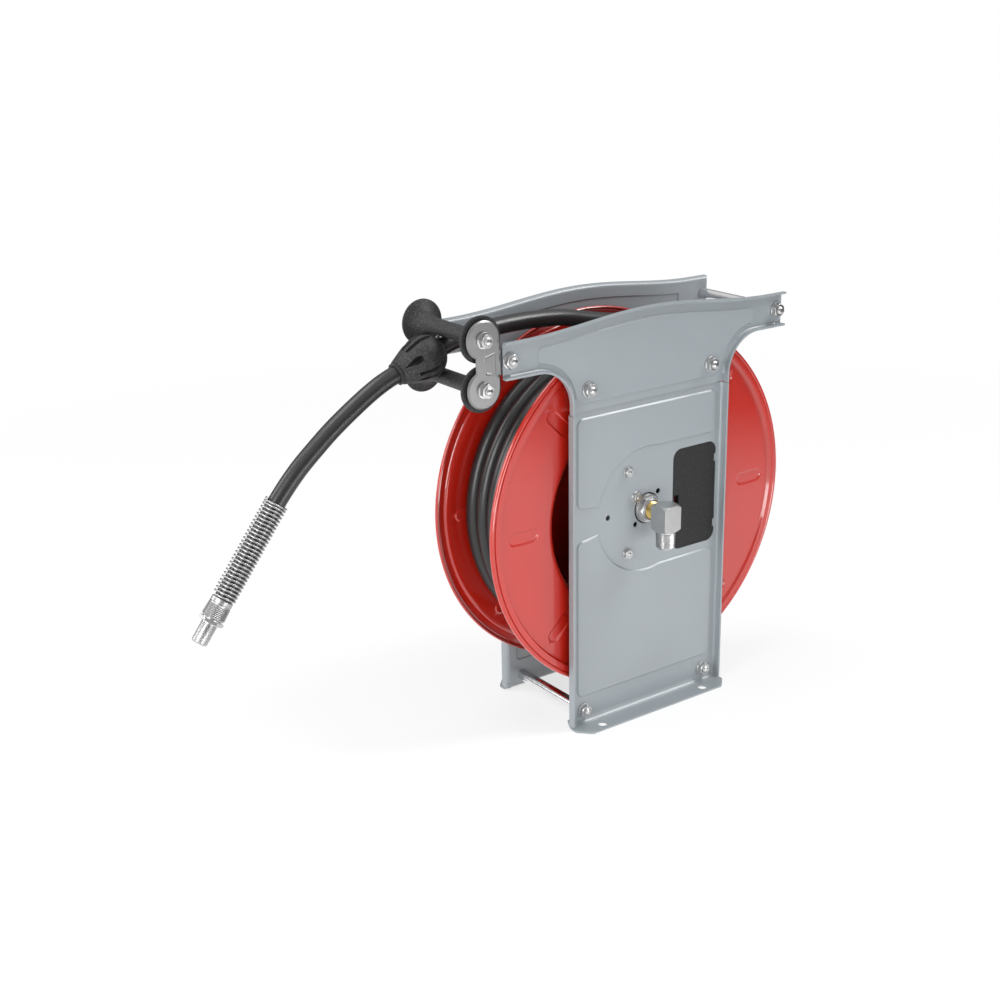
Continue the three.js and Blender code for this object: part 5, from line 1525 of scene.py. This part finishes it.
def wound_route():
    """The lower layer across to the spring side, its climb, the outer layer back, and the last dive."""
    run = math.degrees(2 * HOSE / WOUND)
    climb = 38  # degrees over which the hose rises from one layer to the next
    first, last = CROSS_TO + run, CROSS_FROM - run + WOUND_STRANDS * 360
    start = CROSS_TO - WOUND_STRANDS * 360
    half = (WOUND_STRANDS - 1) / 2
    count = round((last + climb - start) / 3)
    route = []
    for i in range(count + 1):
        degrees = start + (last + climb - start) * i / count
        done = strands_done(degrees)
        place = max(-half, half - WOUND_STRANDS - done) if degrees < first else min(done - half, half)
        rise = eased((degrees - first + climb) / climb) - eased((degrees - last) / climb)
        radius = LOWER_WOUND + (WOUND - LOWER_WOUND) * rise
        a = math.radians(degrees)
        route.append((place * WOUND_PITCH, radius * math.cos(a), -radius * math.sin(a)))
    return route


def strands_done(degrees):
    """How many strands lie behind this angle, with the share of the step to the next one."""
    turn = math.floor((degrees - CROSS_TO) / 360)
    to_go = CROSS_TO + (turn + 1) * 360 - degrees
    return turn + eased(1 - to_go / (CROSS_TO - CROSS_FROM))


class ReelWoundHose(bpy.types.Operator):
    """The hose wound on the drum in two visible layers over the earlier ones"""

    bl_idname = "hose_reel.wound_hose"
    bl_label = "Wound Hose"

    def execute(self, context):
        winding = hose_along(wound_route(), context.scene.reel_sizes.hose_sides)
        floor, shoulder, top = BARREL + FIT, 124, 131
        core = [(-40, floor), (40, floor), (46, shoulder), (46, top), (-46, top), (-46, shoulder)]
        made = joined([winding, smooth(spun(core, 96), 30)])
        on_axle(made, "wound_hose", "drum", "hose_rubber", ("hose_core", "hose_winding"))
        return {"FINISHED"}


# ---------------------------------------------------------------- solids that stay
KEPT = {
    "axle_spacer": "steel",
    "pawl": "steel",
    "pawl_pin": "zinc",
    "pawl_spring": "zinc",
    "main_spring": "steel",
    "swivel_body": "brass",
    "ratchet_ring": "steel",
    "hose_connector": "brass",
    "case_bush": "brass",
    "swivel_seal_inner": "hose_rubber",
    "swivel_seal_outer": "hose_rubber",
}


class ReelInnerFinishes(bpy.types.Operator):
    """Finishes of the inner pieces whose solids stay as they are"""

    bl_idname = "hose_reel.inner_finishes"
    bl_label = "Inner Finishes"

    def execute(self, context):
        for node, finish in KEPT.items():
            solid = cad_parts[node]
            if not solid.material_slots:
                solid.data.materials.append(None)
            for place in solid.material_slots:
                place.material = FINISHES[finish]
        return {"FINISHED"}


# ---------------------------------------------------------------- panel and registration
OPERATORS = (
    ReelStage,
    ReelFreeHose,
    ReelFrameSheets,
    ReelFasteners,
    ReelHoseGuide,
    ReelInlet,
    ReelLatch,
    ReelDrum,
    ReelWoundHose,
    ReelInnerFinishes,
)


class ReelPanel(bpy.types.Panel):
    """Settings and steps of the hose reel"""

    bl_idname = "VIEW3D_PT_hose_reel"
    bl_label = "Hose Reel"
    bl_space_type = "VIEW_3D"
    bl_region_type = "UI"
    bl_category = "Hose Reel"

    def draw(self, context):
        for group in (context.scene.reel_sizes, context.scene.reel_colours):
            box = self.layout.box()
            for key in group.bl_rna.properties.keys():
                if key not in ("rna_type", "name"):
                    box.prop(group, key)
        for step in OPERATORS:
            self.layout.operator(step.bl_idname)


CLASSES = (ReelColours, ReelSizes, *OPERATORS, ReelPanel)


def register():
    for item in CLASSES:
        bpy.utils.register_class(item)
    bpy.types.Scene.reel_colours = PointerProperty(type=ReelColours)
    bpy.types.Scene.reel_sizes = PointerProperty(type=ReelSizes)


def unregister():
    del bpy.types.Scene.reel_sizes
    del bpy.types.Scene.reel_colours
    for item in reversed(CLASSES):
        bpy.utils.unregister_class(item)


def main():
    register()
    scene = bpy.context.scene
    mix_finishes(scene.reel_colours, scene.reel_sizes.grain)
    TREES.update(coil=coil_tree(), hose=hose_tree(), scatter=scatter_tree(), wheel=wheel_tree())
    bpy.context.view_layer.update()
    for step in OPERATORS:
        group, name = step.bl_idname.split(".")
        getattr(getattr(bpy.ops, group), name)()


if __name__ == "__main__":
    main()
